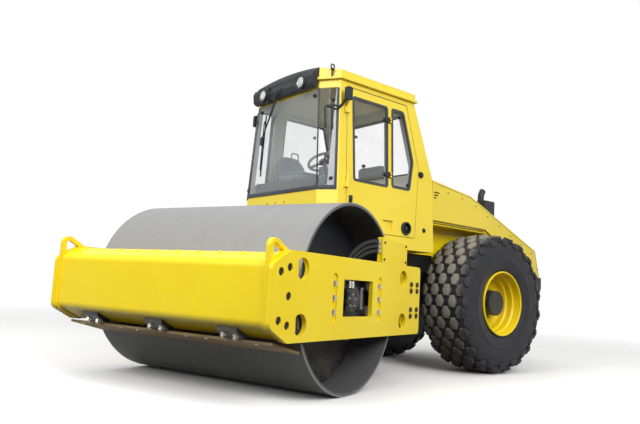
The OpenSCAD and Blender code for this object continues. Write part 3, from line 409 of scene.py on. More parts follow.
def makeSeatCloth(s):
    m, tree, shader = newFinish("seatCloth")
    place = objectPlace(tree)
    weave = mathNode(tree, "MULTIPLY", *(waves(tree, place, s["threads"], along, 0.6) for along in "XZ"))
    tones = useGroup(tree, driftGroup, {"Colour": srgb(*s["tone"]), "Other": srgb(*s["other"]), "Scale": 5.0})
    colour = mixColour(tree, rangeNode(tree, weave, 0, 1, 0.0, 0.35), tones["Colour"], srgb(*s["gap"]))
    feed(tree, shader, colour=colour, roughness=0.85, sheen=s["sheen"], normal=bumpNode(tree, weave, 0.25, 0.001))
    return m


finishes["seat_cloth"] = makeSeatCloth(clothSet)


# fluted lamp glass
def makeLampGlass():
    m, tree, shader = newFinish("lampGlass")
    flutes = waves(tree, objectPlace(tree), 42.0, "Y")
    rim = addNode(tree, "ShaderNodeLayerWeight", {"Blend": 0.3}).outputs["Fresnel"]
    feed(tree, shader, colour=srgb(238, 240, 238), roughness=0.06, alpha=rangeNode(tree, rim, 0, 1, 0.28, 0.9),
         normal=bumpNode(tree, flutes, 0.5, 0.004))
    return m


finishes["lamp_glass"] = makeLampGlass()
finishes["reflector"] = coated("lampReflector", (232, 232, 228), (222, 222, 218), 0.12, metal=1.0, grain=60,
                               relief=0.02, dust=0.0, soft=0.0)

# every CAD node takes the finish of its slot; cab walls have a lining
cabNodes = ["cab_front_wall", "cab_left_side", "cab_right_side", "cab_rear_wall", "cab_base", "left_door"]
ownFinish = {**{name: "cab_paint" for name in cabNodes}, "steering_console": "trim"}
for part in frame["record"]["subparts"]:
    mesh = nodes[part["node"]].data
    mesh.materials.clear()
    mesh.materials.append(finishes[ownFinish.get(part["node"], part["material_slot"])])
print("finishes made:", len(finishes))


# mesh helpers
def fresh(count):
    return [bmesh.new() for i in range(count)]


def meshOf(name, bm):
    mesh = bpy.data.meshes.new(name)
    bm.to_mesh(mesh)
    bm.free()
    return mesh


def joinInto(bm, other, place=Matrix()):
    bmesh.ops.transform(other, matrix=place, verts=other.verts)
    temp = meshOf("temp", other)
    bm.from_mesh(temp)
    bpy.data.meshes.remove(temp)


def soften(bm, geom, width, steps=2, kind="EDGES"):
    bmesh.ops.bevel(bm, geom=geom, offset=width, offset_type="OFFSET", segments=steps, profile=0.5,
                    affect=kind, clamp_overlap=True, material=-1)


def edgesOf(verts):
    return {e for v in verts for e in v.link_edges}


# every face drawn out by a step; the far end's points come back
def thicken(bm, step):
    made = bmesh.ops.extrude_face_region(bm, geom=bm.faces[:])
    far = [v for v in made["geom"] if isinstance(v, bmesh.types.BMVert)]
    bmesh.ops.translate(bm, vec=step, verts=far)
    return far


def addBlock(bm, low, high, soft=0.0, steps=2, place=Matrix()):
    low, high = Vector(low), Vector(high)
    made = bmesh.ops.create_cube(bm, size=1.0, matrix=place @ Matrix.Translation((low + high)/2)
                                 @ Matrix.Diagonal((*(high - low), 1)))
    if soft:
        soften(bm, list(edgesOf(made["verts"])), soft, steps)


def addRod(bm, a, b, radius, endRadius=None, rounds=16, soft=0.0):
    a, b = Vector(a), Vector(b)
    place = Matrix.Translation((a + b)/2) @ (b - a).to_track_quat("Z", "Y").to_matrix().to_4x4()
    made = bmesh.ops.create_cone(bm, cap_ends=True, segments=rounds, radius1=radius,
                                 radius2=radius if endRadius is None else endRadius, depth=(b - a).length, matrix=place)
    if soft:
        soften(bm, [e for e in edgesOf(made["verts"]) if any(len(f.verts) == rounds for f in e.link_faces)], soft)


# block by its offsets from a point
def blockAt(bm, at, low, high, soft, steps=2):
    addBlock(bm, Vector(at) + Vector(low), Vector(at) + Vector(high), soft, steps)


# stud standing out along Y from a point
def studAt(bm, at, low, high, radius, tip, rounds, soft=0.0):
    addRod(bm, Vector(at) + Vector((0, low, 0)), Vector(at) + Vector((0, high, 0)), radius, tip, rounds, soft)


# straight bar with a rectangular section between two points, its flat facing out
def addBar(bm, a, b, width, deep, out):
    a, b, out = Vector(a), Vector(b), Vector(out).normalized()
    along = (b - a).normalized()
    across = along.cross(out).normalized()
    turn = Matrix((along, across, across.cross(along).normalized())).transposed().to_4x4()
    half = Vector(((b - a).length, width, deep))/2
    addBlock(bm, -half, half, min(width, deep)*0.25, 2, Matrix.Translation((a + b)/2) @ turn)


# hex bolt on a washer, standing on its seat along an axis
def addBolt(bm, seat, axis, across, rise, washer=1.35):
    seat, axis = Vector(seat), Vector(axis).normalized()
    addRod(bm, seat, seat + axis*rise*0.25, across*washer/2, rounds=18)
    addRod(bm, seat + axis*rise*0.2, seat + axis*rise, across/2, across*0.47, rounds=6)


# profile of (radius, along) turned about Z, then set in its place
def addTurned(bm, profile, steps, place=Matrix(), closed=False):
    turned = bmesh.new()
    verts = [turned.verts.new((r, 0, h)) for r, h in profile]
    after = verts[1:] + verts[:1] if closed else verts[1:]
    edges = [turned.edges.new(pair) for pair in zip(verts, after)]
    bmesh.ops.spin(turned, geom=verts + edges, cent=(0, 0, 0), axis=(0, 0, 1), angle=math.tau,
                   steps=steps, use_merge=True)
    bmesh.ops.remove_doubles(turned, verts=turned.verts, dist=1e-6)
    joinInto(bm, turned, place)


# flat outline drawn in X and Z, its corners rounded
def outlineFace(outline, corner, low):
    bm = bmesh.new()
    verts = [bm.verts.new((x, low, z)) for x, z in outline]
    bm.faces.new(verts)
    soften(bm, verts, corner, 5, "VERTICES")
    return bm


# the outline given a thickness along Y
def paneBlock(outline, corner, low, high):
    bm = outlineFace(outline, corner, low)
    thicken(bm, (0, high - low, 0))
    return bm


# a ring along the outline, given a thickness along Y
def ringOf(outline, corner, width, low, high):
    bm = outlineFace(outline, corner, low)
    ring = set(bmesh.ops.inset_region(bm, faces=bm.faces[:], thickness=width, use_even_offset=True,
                                      use_boundary=True)["faces"])
    bmesh.ops.delete(bm, geom=[f for f in bm.faces if f not in ring], context="FACES")
    thicken(bm, (0, high - low, 0))
    return bm


def addPiece(name, data, body, finish):
    data.materials.append(finishes[finish])
    obj = linkNew(name, data)
    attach(obj, body)
    return obj


def closePiece(name, bm, body, finish, place=Matrix(), sharp=32):
    bmesh.ops.transform(bm, matrix=place, verts=bm.verts)
    bmesh.ops.remove_doubles(bm, verts=bm.verts, dist=2e-5)
    bmesh.ops.recalc_face_normals(bm, faces=bm.faces)
    mesh = meshOf(name, bm)
    mesh.shade_smooth()
    mesh.set_sharp_from_angle(angle=math.radians(sharp))
    return addPiece(name, mesh, body, finish)


# several pieces of one body: name, mesh and finish of each
def closeAll(body, place, *pieces):
    for name, bm, finish in pieces:
        closePiece(name, bm, body, finish, place)


# bent rod or hose along points, as one smooth spline
def bentRod(name, points, radius, body, finish, place=Matrix(), order=3, fine=5):
    data = bpy.data.curves.new(name, "CURVE")
    data.dimensions = "3D"
    data.bevel_depth, data.bevel_resolution, data.resolution_u = radius, 4, fine
    data.use_fill_caps = True
    spline = data.splines.new("NURBS")
    spline.points.add(len(points) - 1)
    for p, at in zip(spline.points, points):
        p.co = (*(place @ Vector(at)), 1)
    spline.order_u, spline.use_endpoint_u = order, True
    return addPiece(name, data, body, finish)


# drum hoses: from the hose box down behind the plate to the ports over the drive motor, as in the CAD
hoseSet = {"diameter": 0.032, "boxFront": 0.95, "firstZ": 1.23, "pitch": 0.04, "startY": 1.095, "gap": 0.0012,
           "endY": 1.056, "drumX": 1.33, "portX": 0.15, "portPitch": 0.044, "portZ": 0.8853, "bow": 0.55,
           "inward": 0.012, "points": 24, "ferrule": ((0.042, 0.0025, 24, 0.0015), (0.015, 0.006, 6, 0.0)),
           "collar": (0.026, 0.031, 0.0045), "sunk": 0.001}


def hosePoints(i, s):
    a = Vector((s["boxFront"] + s["gap"], s["startY"], s["firstZ"] - i*s["pitch"]))
    b = Vector((s["drumX"] + s["portX"] - i*s["portPitch"], s["endY"], s["portZ"]))
    c = a + Vector((s["bow"]*(b.x - a.x), -s["inward"], 0))
    d = b + Vector((0, 0, s["bow"]*(a.z - b.z)))
    steps = [k/(s["points"] - 1) for k in range(s["points"])]
    return [a*(1 - u)**3 + c*3*u*(1 - u)**2 + d*3*u*u*(1 - u) + b*u**3 for u in steps]


def makeHoses(s):
    ferrules, r = bmesh.new(), s["diameter"]/2
    for i in range(3):
        path = hosePoints(i, s)
        hose = bentRod("drumHose" + str(i + 1), path, r, "front_frame", "hose_rubber", frontPlace, order=2, fine=1)
        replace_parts(hose, "drum_hoses")
        for end, out in ((path[0], path[1] - path[0]), (path[-1], path[-2] - path[-1])):
            out = out.normalized()
            for reach, over, rounds, soft in s["ferrule"]:
                addRod(ferrules, end - out*s["sunk"], end + out*reach, r + over, rounds=rounds, soft=soft)
            near, far, over = s["collar"]
            addRod(ferrules, end + out*near, end + out*far, r + over, rounds=24, soft=0.001)
    closePiece("hoseFerrules", ferrules, "front_frame", "zinc", frontPlace)


makeHoses(hoseSet)

# tyres: a turned carcass with staggered diamond lugs
tyreSet = {"radius": 0.755, "half": 0.2935, "lugs": 20, "rise": 0.027, "crown": 0.34, "steps": 100,
           "lugLong": 0.077, "lugWide": 0.054, "taper": 0.86, "root": 0.014, "lugSoft": 0.0035,
           "rows": ((-0.158, 0.0, 0.158), (-0.236, -0.079, 0.079, 0.236)), "outerFrom": 0.2, "outerTilt": 2.2,
           "outerDrop": 0.004, "shoulder": 0.664, "shoulderIn": 0.030, "shoulderLean": 66,
           "shoulderSize": (0.95, 0.95, 0.8), "crownAt": (0.236, 0.20, 0.15, 0.10, 0.05, 0.0),
           # side wall from bead to shoulder: radius, and how far in from the tyre's side
           "wall": ((0.3465, 0.048), (0.362, 0.040), (0.372, 0.030), (0.386, 0.026), (0.392, 0.020), (0.430, 0.010),
                    (0.470, 0.003), (0.474, 0.001), (0.484, 0.001), (0.488, 0.003), (0.540, 0.001), (0.590, 0.004),
                    (0.640, 0.013), (0.680, 0.032)),
           # dust by distance across and height over the crown
           "dust": ((0.205, 0.022, 1.0), (0.262, 0.021, 0.5))}


# a wheel is drawn about Z, its outside up
def hubPlace(side):
    return Matrix.Translation(joints[side + "_wheel_roll"]["pos_m"]) @ Matrix.Rotation(-sides[side]*math.pi/2, 4, "X")


def crownRadius(s, along):
    return s["radius"] - s["rise"] - s["crown"]*along*along


def stamp(bm, mesh, place):
    mesh.transform(place)
    bm.from_mesh(mesh)
    mesh.transform(place.inverted())


def makeLug(s):
    bm = bmesh.new()
    bmesh.ops.create_circle(bm, cap_ends=True, segments=6, radius=1.0)
    bmesh.ops.scale(bm, vec=(s["lugLong"], s["lugWide"], 1), verts=bm.verts)
    bmesh.ops.translate(bm, vec=(0, 0, -s["root"]), verts=bm.verts)
    top = thicken(bm, (0, 0, s["rise"] + s["root"]))
    bmesh.ops.scale(bm, vec=(s["taper"], s["taper"], 1), verts=top)
    soften(bm, [e for e in bm.edges if e.verts[0] in top and e.verts[1] in top], s["lugSoft"])
    return meshOf("lug", bm)


def makeTyre(side, s):
    bm, tread, lug = bmesh.new(), bmesh.new(), makeLug(s)
    halfProfile = [(r, s["half"] - inward) for r, inward in s["wall"]] + [(crownRadius(s, a), a) for a in s["crownAt"]]
    addTurned(bm, halfProfile + [(r, -a) for r, a in reversed(halfProfile[:-1])], s["steps"], closed=True)
    upright = Matrix(((0, 0, 1, 0), (1, 0, 0, 0), (0, 1, 0, 0), (0, 0, 0, 1)))
    for i in range(2*s["lugs"]):
        turn = Matrix.Rotation(math.pi*i/s["lugs"], 4, "Z")
        for a in s["rows"][i % 2]:
            tilt, drop = (s["outerTilt"], s["outerDrop"]) if abs(a) > s["outerFrom"] else (1.0, 0.0)
            spot = Matrix.Translation((crownRadius(s, a) - drop, 0, a))
            stamp(tread, lug, turn @ spot @ upright @ Matrix.Rotation(-math.atan(2*s["crown"]*a)*tilt, 4, "X"))
        if i % 2 == 0:  # shoulder blocks between the outer lugs
            for v in (-1, 1):
                spot = Matrix.Translation((s["shoulder"], 0, v*(s["half"] - s["shoulderIn"])))
                lean = Matrix.Rotation(-v*math.radians(s["shoulderLean"]), 4, "X")
                stamp(tread, lug, turn @ spot @ upright @ lean @ Matrix.Diagonal((*s["shoulderSize"], 1)))
    bpy.data.meshes.remove(lug)
    joinInto(bm, tread)
    dust = bm.verts.layers.float.new("lugDust")
    for v in bm.verts:
        over = math.hypot(v.co.x, v.co.y) - crownRadius(s, v.co.z)
        v[dust] = max(amount if abs(v.co.z) < across and over > rise else 0.0 for across, rise, amount in s["dust"])
    tyre = closePiece(side + "TreadTyre", bm, side + "_wheel", "tyre_rubber", hubPlace(side), sharp=40)
    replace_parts(tyre, side + "_tyre")


for side in sides:
    makeTyre(side, tyreSet)
print("tyres done")


# wheel nuts round each hub
nutSet = {"count": 10, "circle": 0.178, "first": 0.2, "seat": -0.0105, "across": 0.042, "rise": 0.038,
          "stud": (0.01, 0.014, 0.009)}


def makeNuts(side, s):
    bm = bmesh.new()
    low, over, r = s["stud"]
    for i in range(s["count"]):
        a = math.tau*i/s["count"] + s["first"]
        x, y = s["circle"]*math.cos(a), s["circle"]*math.sin(a)
        addBolt(bm, (x, y, s["seat"]), (0, 0, 1), s["across"], s["rise"])
        addRod(bm, (x, y, low), (x, y, s["seat"] + s["rise"] + over), r, rounds=12)
    closePiece(side + "WheelNuts", bm, side + "_wheel", "zinc", hubPlace(side))


for side in sides:
    makeNuts(side, nutSet)

# side plates: zinc bolts in the slots, black socket screws at the rear, rubber plugs in the front holes
plateSet = {"face": 1.125, "slotX": 0.355, "slotFloor": 1.111, "slotBolts": (-0.105, 0.0, 0.105),
            "bolt": (0.038, 0.022), "rearX": (-0.971, -1.099), "rearZ": (-0.142, -0.084, 0.084, 0.142),
            "rearRadius": 0.0235,
            "rearHead": ((0.0, 0.004), (0.5, 0.004), (0.5, 0.012), (0.86, 0.012), (1.0, 0.009), (1.0, -0.002)),
            "plugs": ((1.033, 0.157), (1.033, -0.157), (0.938, 0.19), (0.938, -0.19), (0.937, 0.0)),
            "plug": (-0.030, -0.007, 0.0275, 0.0275, 28, 0.004)}
platePlace = {"left": drumPlace, "right": drumPlace @ mirrorY}
outward = Matrix.Rotation(-math.pi/2, 4, "X")


def makePlateFittings(side, s):
    bolts, screws, plugs = fresh(3)
    for x in (-s["slotX"], s["slotX"]):
        for z in s["slotBolts"]:
            addBolt(bolts, (x, s["slotFloor"], z), (0, 1, 0), *s["bolt"])
    head = [(u*s["rearRadius"], h) for u, h in s["rearHead"]]
    for x in s["rearX"]:
        for z in s["rearZ"]:
            addTurned(screws, head, 20, Matrix.Translation((x, s["face"], z)) @ outward)
    for x, z in s["plugs"]:
        studAt(plugs, (x, s["face"], z), *s["plug"])
    closeAll("front_frame", platePlace[side], (side + "PlateBolts", bolts, "zinc"),
             (side + "PlateScrews", screws, "black_paint"), (side + "PlatePlugs", plugs, "hose_rubber"))


for side in sides:
    makePlateFittings(side, plateSet)

# drive motor seen in each plate's window: a lumpy casting, its plugs and fittings, a bright pipe beside it
motorSet = {"at": (0.052, -0.018), "body": 0.066, "back": 1.079, "front": 1.108, "bolts": 5, "boltRing": 0.72,
            "boltIn": 0.009, "rings": ((0.0, 0.0), (0.42, 0.0), (0.5, 0.003), (0.5, 0.007), (0.82, 0.009), (1.0, 0.013),
                                        (1.0, 0.018), (0.9, 0.020), (0.9, 0.041), (0.0, 0.041)),
            "block": ((-0.052, -0.012, -0.088), (0.060, 0.010, 0.092), 0.012, 3), "bolt": (0.013, 0.009),
            "boss": (-0.004, -0.006), "plug": (-0.008, 0.001), "nozzle": (-0.020, 0.036, 0.015),
            "nut": (-0.004, 0.014, 0.020),
            "lumps": ((0.095, 0.035, 0.024), (0.012, -0.062, 0.028), (0.085, -0.078, 0.022), (0.000, 0.030, 0.022),
                      (0.115, -0.030, 0.020)),
            "ports": ((0.045, 0.098), (0.088, 0.098)), "portY": 1.090, "pipe": (-0.138, 1.066, 0.018, 0.085)}


def makeMotor(side, s):
    bm, zinc, pipe = fresh(3)
    (cx, cz), r, b, f = s["at"], s["body"], s["back"], s["front"]
    addTurned(bm, [(u*r, f - inward) for u, inward in s["rings"]], 36, Matrix.Translation((cx, 0, cz)) @ outward)
    blockAt(bm, (cx, b, cz), *s["block"])
    for x, z, size in s["lumps"]:
        studAt(bm, (x, 0, z), b + s["boss"][0], f + s["boss"][1], size, size*0.8, 18, 0.005)
        studAt(bm, (x, f, z), *s["plug"], size*0.5, size*0.5, 6)
    ring = r*s["boltRing"]
    for i in range(s["bolts"]):
        a = math.tau*(i + 0.3)/s["bolts"]
        addBolt(zinc, (cx + ring*math.cos(a), f - s["boltIn"], cz + ring*math.sin(a)), (0, 1, 0), *s["bolt"])
    for (low, high, size), rounds, soft in ((s["nozzle"], 18, 0.002), (s["nut"], 6, 0.0)):
        for x, z in s["ports"]:
            addRod(zinc, (x, s["portY"], z + low), (x, s["portY"], z + high), size, rounds=rounds, soft=soft)
    x, y, size, tall = s["pipe"]
    addRod(pipe, (x, y, -tall), (x, y, tall), size, rounds=28)
    for v in (-1, 1):
        addRod(pipe, (x, y, v*tall*0.82), (x, y, v*tall), size*1.35, rounds=6)
    closeAll("front_frame", platePlace[side], (side + "DriveMotor", bm, "black_casting"),
             (side + "MotorFittings", zinc, "zinc"), (side + "MotorPipe", pipe, "engine_alloy"))


for side in sides:
    makeMotor(side, motorSet)
print("front frame fittings done")

# hose box: cover screws and the mounting strip at its front
boxSet = {"screwX": (0.50, 0.918), "screwZ": (1.083, 1.225), "face": 1.125, "screw": (0.018, 0.008),
          "strip": ((0.9505, 1.078, 1.055), (0.964, 1.089, 1.264)), "soft": 0.002}


def makeBoxTrim(s):
    screws, strip = fresh(2)
    for x in s["screwX"]:
        for z in s["screwZ"]:
            addBolt(screws, (x, s["face"], z), (0, 1, 0), *s["screw"])
    addBlock(strip, *s["strip"], s["soft"])
    closeAll("front_frame", frontPlace, ("hoseBoxScrews", screws, "black_paint"),
             ("hoseBoxStrip", strip, "yellow_paint"))


makeBoxTrim(boxSet)

# scraper: two clamp bolts on each bracket's slanting front, and a few along the blade's heel
scraperSet = {"y": (-0.71, 0.0, 0.71), "face": (1.010, -0.2785), "out": (0.567, 0, -0.824),
              "apart": (-0.006, 0.05, -0.004), "clamp": (0.034, 0.026), "heel": (0.955, -0.3165),
              "heelOut": (-0.2, 0, -1), "small": (0.024, 0.014), "between": (-0.90, -0.45, -0.26, 0.26, 0.45, 0.90)}


def makeScraperBolts(s):
    bm = bmesh.new()
    (x, z), apart = s["face"], Vector(s["apart"])
    for y in s["y"]:
        for v in (-1, 1):
            addBolt(bm, Vector((x, y, z)) + apart*v, s["out"], *s["clamp"])
    x, z = s["heel"]
    for y in s["between"]:
        addBolt(bm, (x, y, z), s["heelOut"], *s["small"])
    closePiece("scraperBolts", bm, "front_frame", "zinc", drumPlace)


makeScraperBolts(scraperSet)

# front beam: weld beads along both end plates, small screws along the top
beamSet = {"outline": ((0.900, 0.287), (0.930, 0.290), (1.102, 0.218), (1.102, -0.195), (0.900, -0.296)),
           "corner": 0.06, "weldY": 1.0485, "weld": 0.0055, "screws": 10, "screwY": 0.95, "screwAt": (0.962, 0.2766),
           "screwOut": (0.386, 0, 0.922), "screw": (0.019, 0.011)}


# an open line with its inner corners rounded
def roundedLine(points, corner, steps=6):
    points = [Vector(p) for p in points]
    line = [points[0]]
    for a, p, b in zip(points, points[1:], points[2:]):
        before, after = (a - p).normalized(), (b - p).normalized()
        reach = min(corner/math.tan(before.angle(after)/2), (a - p).length*0.5, (b - p).length*0.5)
        start, end = p + before*reach, p + after*reach
        for k in range(steps + 1):
            u = k/steps
            line.append(start*(1 - u)**2 + p*2*u*(1 - u) + end*u*u)
    return line + [points[-1]]


def makeBeamTrim(s):
    line = roundedLine(s["outline"], s["corner"])
    for side, v in sides.items():
        points = [(p.x, v*s["weldY"], p.y) for p in line]
        bentRod(side + "BeamWeld", points, s["weld"], "front_frame", "yellow_paint", drumPlace, order=2, fine=1)
    bm = bmesh.new()
    x, z = s["screwAt"]
    for i in range(s["screws"]):
        y = s["screwY"]*(2*i/(s["screws"] - 1) - 1)
        addBolt(bm, (x, y, z), s["screwOut"], *s["screw"])
    closePiece("beamScrews", bm, "front_frame", "yellow_paint", drumPlace)


makeBeamTrim(beamSet)


# cab outline by height
def sideY(z):
    return cabForm["side"] - (z - cabForm["sill"])*cabForm["sideLean"]


def screenHalf(z):
    return cabForm["half"] - (z - cabForm["sill"])*cabForm["halfLean"]


def frontX(z):
    return cabForm["screen"] - (z - cabForm["sill"])*cabForm["screenLean"]


def cornerX(z):
    return frontX(z) - (sideY(z) - screenHalf(z))*cabForm["slope"]


def rearX(z):
    return cabForm["rear"] + max(0.0, z - cabForm["knee"])*cabForm["rearLean"]


# a drawing in X and Z laid on the leaning side
sideShear = Matrix(((1, 0, 0, 0), (0, 1, -cabForm["sideLean"], cabForm["side"] + cabForm["sill"]*cabForm["sideLean"]),
                    (0, 0, 1, 0), (0, 0, 0, 1)))
sidePlace = {"left": rearPlace @ sideShear, "right": rearPlace @ mirrorY @ sideShear}

# side panes with their seals; the right side has a narrow pane ahead of its post and no door
paneSet = {"left": ("front", "rear"), "right": ("ahead", "broad"), "corner": 0.034,
           "ahead": ((0.52, 2.745), (0.345, 2.745), (0.345, 1.8), (0.535, 1.8)),
           "broad": ((0.185, 2.745), (-0.41, 2.745), (-0.61, 2.15), (-0.58, 1.84), (0.185, 1.84)),
           "front": ((0.405, 2.665), (-0.08, 2.665), (-0.08, 1.84), (0.385, 1.84)),
           "rear": ((-0.13, 2.665), (-0.315, 2.665), (-0.45, 2.16), (-0.395, 1.85), (-0.13, 1.85)),
           "seal": (0.026, -0.013, 0.0035), "sealOver": 0.0056, "glassDeep": (-0.018, -0.012), "glassOver": 0.008,
           "cutDeep": (-0.12, 0.06), "post": ((0.338, 2.775), (0.192, 2.775), (0.192, 1.79), (0.338, 1.79)),
           "postCorner": 0.01, "postDeep": (-0.045, 0.0012)}


def grown(outline, grow):
    mid = sum((Vector(p) for p in outline), Vector((0, 0)))/len(outline)
    return [tuple(Vector(p) + (Vector(p) - mid).normalized()*grow) for p in outline]


def makeSideSeals(side, s):
    bm = bmesh.new()
    for pane in s[side]:
        joinInto(bm, ringOf(grown(s[pane], s["sealOver"]), s["corner"], *s["seal"]))
    body = {"left": "left_door", "right": "chassis"}[side]
    closePiece(side + "WindowSeals", bm, body, "seal", sidePlace[side])


for side in sides:
    makeSideSeals(side, paneSet)


def shapeNow(obj):
    return bpy.data.meshes.new_from_object(obj.evaluated_get(bpy.context.evaluated_depsgraph_get()))


# right side: a merged copy of the CAD wall with both panes cut through it, the post between them and the glass
def makeRightSide(s):
    place = sidePlace["right"]
    wall, cutter, glass = fresh(3)
    for pane in s["right"]:
        joinInto(cutter, paneBlock(s[pane], s["corner"], *s["cutDeep"]))
        joinInto(glass, paneBlock(grown(s[pane], s["glassOver"]), s["corner"], *s["glassDeep"]))
    wall.from_mesh(nodes["cab_right_side"].data)
    bmesh.ops.remove_doubles(wall, verts=wall.verts, dist=1e-5)
    bmesh.ops.transform(cutter, matrix=place, verts=cutter.verts)
    bmesh.ops.recalc_face_normals(cutter, faces=cutter.faces)
    pair = [linkNew("cutting", meshOf("cutting", bm)) for bm in (wall, cutter)]
    cut = pair[0].modifiers.new("cut", "BOOLEAN")
    cut.operation, cut.solver, cut.object = "DIFFERENCE", "EXACT", pair[1]
    shape, bm = shapeNow(pair[0]), bmesh.new()
    bm.from_mesh(shape)
    for mesh in (shape, pair[0].data, pair[1].data):
        bpy.data.meshes.remove(mesh)
    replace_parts(closePiece("rightSideWall", bm, "chassis", "cab_paint", sharp=1), "cab_right_side")
    post = paneBlock(s["post"], s["postCorner"], *s["postDeep"])
    closePiece("rightSidePost", post, "chassis", "cab_paint", place)
    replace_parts(closePiece("rightSideGlass", glass, "chassis", "cab_glass", place), "right_side_windows")


makeRightSide(paneSet)

# windscreen and corner glass: sill seal, joint strips and post seals
screenSet = {"low": 1.726, "top": 2.716, "sill": 0.040, "joint": 0.014, "post": 0.026, "deep": 0.010, "proud": 0.002,
             "postIn": 0.022, "fritFrom": 0.6666, "fritDeep": (-0.001, 0.002), "cornerAngle": 60,
             "screws": (-0.21, -0.07, 0.08), "screwZ": 1.642, "screwDeep": (-0.001, 0.005), "screw": (0.008, 0.006)}


def makeScreenSeals(s):
    bm, frit, screws = fresh(3)
    low, top, deep, turn = s["low"], s["top"], s["deep"], math.radians(s["cornerAngle"])
    z = low + s["sill"]/2
    addBar(bm, *((frontX(z) + s["proud"], v*screenHalf(z), z) for v in (-1, 1)), s["sill"], deep, (1, 0, 0))
    for v in sides.values():
        out = Vector((math.cos(turn), v*math.sin(turn), 0))

        def onCorner(y, z):
            return Vector((frontX(z) - (y - screenHalf(z))*cabForm["slope"], v*y, z)) + out*s["proud"]

        def onPost(z):
            return onCorner(sideY(z) - s["postIn"], z)

        addBar(bm, onCorner(screenHalf(z), z), onPost(z), s["sill"], deep, out)
        addBar(bm, onCorner(screenHalf(low), low), onCorner(screenHalf(top), top), s["joint"], deep, (1, v*0.5, 0))
        addBar(bm, onPost(low), onPost(top), s["post"], deep, out)
        edge = [onCorner(s["fritFrom"], low), onPost(low), onPost(top), onCorner(s["fritFrom"], top)]
        band, (inner, outer) = bmesh.new(), s["fritDeep"]
        band.faces.new([band.verts.new(p + out*inner) for p in edge])
        thicken(band, out*(outer - inner))
        joinInto(frit, band)
    for y in s["screws"]:
        addRod(screws, *((frontX(s["screwZ"]) + x, y, s["screwZ"]) for x in s["screwDeep"]), *s["screw"], rounds=12)
    closeAll("chassis", rearPlace, ("windscreenSeals", bm, "seal"), ("cornerFrit", frit, "frit"),
             ("screenScrews", screws, "black_paint"))


makeScreenSeals(screenSet)

# rear window seal, on the wall's slope above the knee
rearSet = {"half": 0.5, "low": 2.085, "top": 2.71, "corner": 0.06, "over": 0.006, "seal": (0.03, -0.014, 0.003)}


def makeRearSeal(s):
    h, c = s["half"], cabForm
    outline = [(-h, s["low"]), (h, s["low"]), (h, s["top"]), (-h, s["top"])]
    bm = ringOf(grown(outline, s["over"]), s["corner"], *s["seal"])
    # drawn in Y and Z, standing out to the rear
    turn = Matrix(((0, -1, c["rearLean"], c["rear"] - c["knee"]*c["rearLean"]),
                   (1, 0, 0, 0), (0, 0, 1, 0), (0, 0, 0, 1)))
    closePiece("rearWindowSeal", bm, "chassis", "seal", rearPlace @ turn)


makeRearSeal(rearSet)

# round glass clamps, black, in pairs through the panes
clampSet = {"radius": 0.021, "tip": 0.0168, "rise": 0.016, "side": ((-0.268, 2.60), (-0.385, 1.905)), "sideIn": 0.012,
            "corner": (2.60, 1.83), "cornerIn": (0.035, 0.062), "screen": (0.455, 2.655), "root": 0.014}


def makeClamps(s):
    door, cab = fresh(2)

    def addClamp(bm, at, out, root):
        at, out = Vector(at), Vector(out)
        addRod(bm, at - out*root, at + out*s["rise"], s["radius"], s["tip"], rounds=24, soft=0.004)

    for bm, v in ((door, 1), (cab, -1)):
        for x, z in s["side"]:
            addClamp(bm, (x, v*(sideY(z) - s["sideIn"]), z), (0, v, 0), s["sideIn"])
        ahead, inward = s["cornerIn"]
        for z in s["corner"]:
            addClamp(cab, (cornerX(z) + ahead, v*(sideY(z) - inward), z), (0.5, v*0.866, 0), s["root"])
        y, z = s["screen"]
        addClamp(cab, (frontX(z), v*y, z), (1, 0, 0), s["root"])
    closePiece("doorGlassClamps", door, "left_door", "black_plastic", rearPlace)
    closePiece("cabGlassClamps", cab, "chassis", "black_plastic", rearPlace)


makeClamps(clampSet)

# door handle: raised ring round the cup, lock in the middle
handleSet = {"x": -0.33, "z": 1.454, "lock": ((0.0, 0.014), (0.021, 0.014), (0.025, 0.009), (0.025, -0.022)),
             "ring": ((0.048, -0.004), (0.048, 0.018), (0.052, 0.023), (0.061, 0.023), (0.066, 0.017), (0.066, -0.004))}


def makeHandleRing(s):
    bm = bmesh.new()
    addTurned(bm, s["ring"], 40, closed=True)
    addTurned(bm, s["lock"], 24)
    place = Matrix.Translation((s["x"], sideY(s["z"]), s["z"])) @ outward
    closePiece("handleRing", bm, "left_door", "black_plastic", rearPlace @ place)


makeHandleRing(handleSet)

# door: window hinges on the mid post, latch and inner lever; bump stop and plug on the cab behind it
doorSet = {"hinges": (2.53, 1.965), "post": -0.105, "plate": ((-0.020, -0.004, -0.030), (0.055, 0.012, 0.030), 0.005),
           "discX": 0.060, "disc": (-0.012, 0.016, 0.024, 0.019, 20, 0.004),
           "capAt": (-0.004, 0.015), "cap": (0.004, 0.022, 0.011, 0.011, 14, 0.003),
           "stopAt": (-0.562, 2.04), "stop": (-0.002, 0.022, 0.036, 0.02808, 28, 0.005),
           "plugAt": (-0.605, 1.46), "plug": (-0.002, 0.006, 0.026, 0.0234, 24, 0.002),
           "latchAt": (0.422, 1.656), "latchFoot": 1.622,
           "latch": ((-0.020, -0.004, -0.034), (0.020, 0.012, 0.034), 0.005),
           "latchKnob": (0.010, 0.018, 0.013, 0.013, 16, 0.002),
           "leverAt": (0.33, 2.283), "leverIn": 0.052,
           "lever": ((-0.040, -0.016, -0.012), (0.034, 0.010, 0.014), 0.008),
           "pull": ((0.018, 0, 0), (0.018, -0.006, -0.130)), "pullRadius": 0.006}


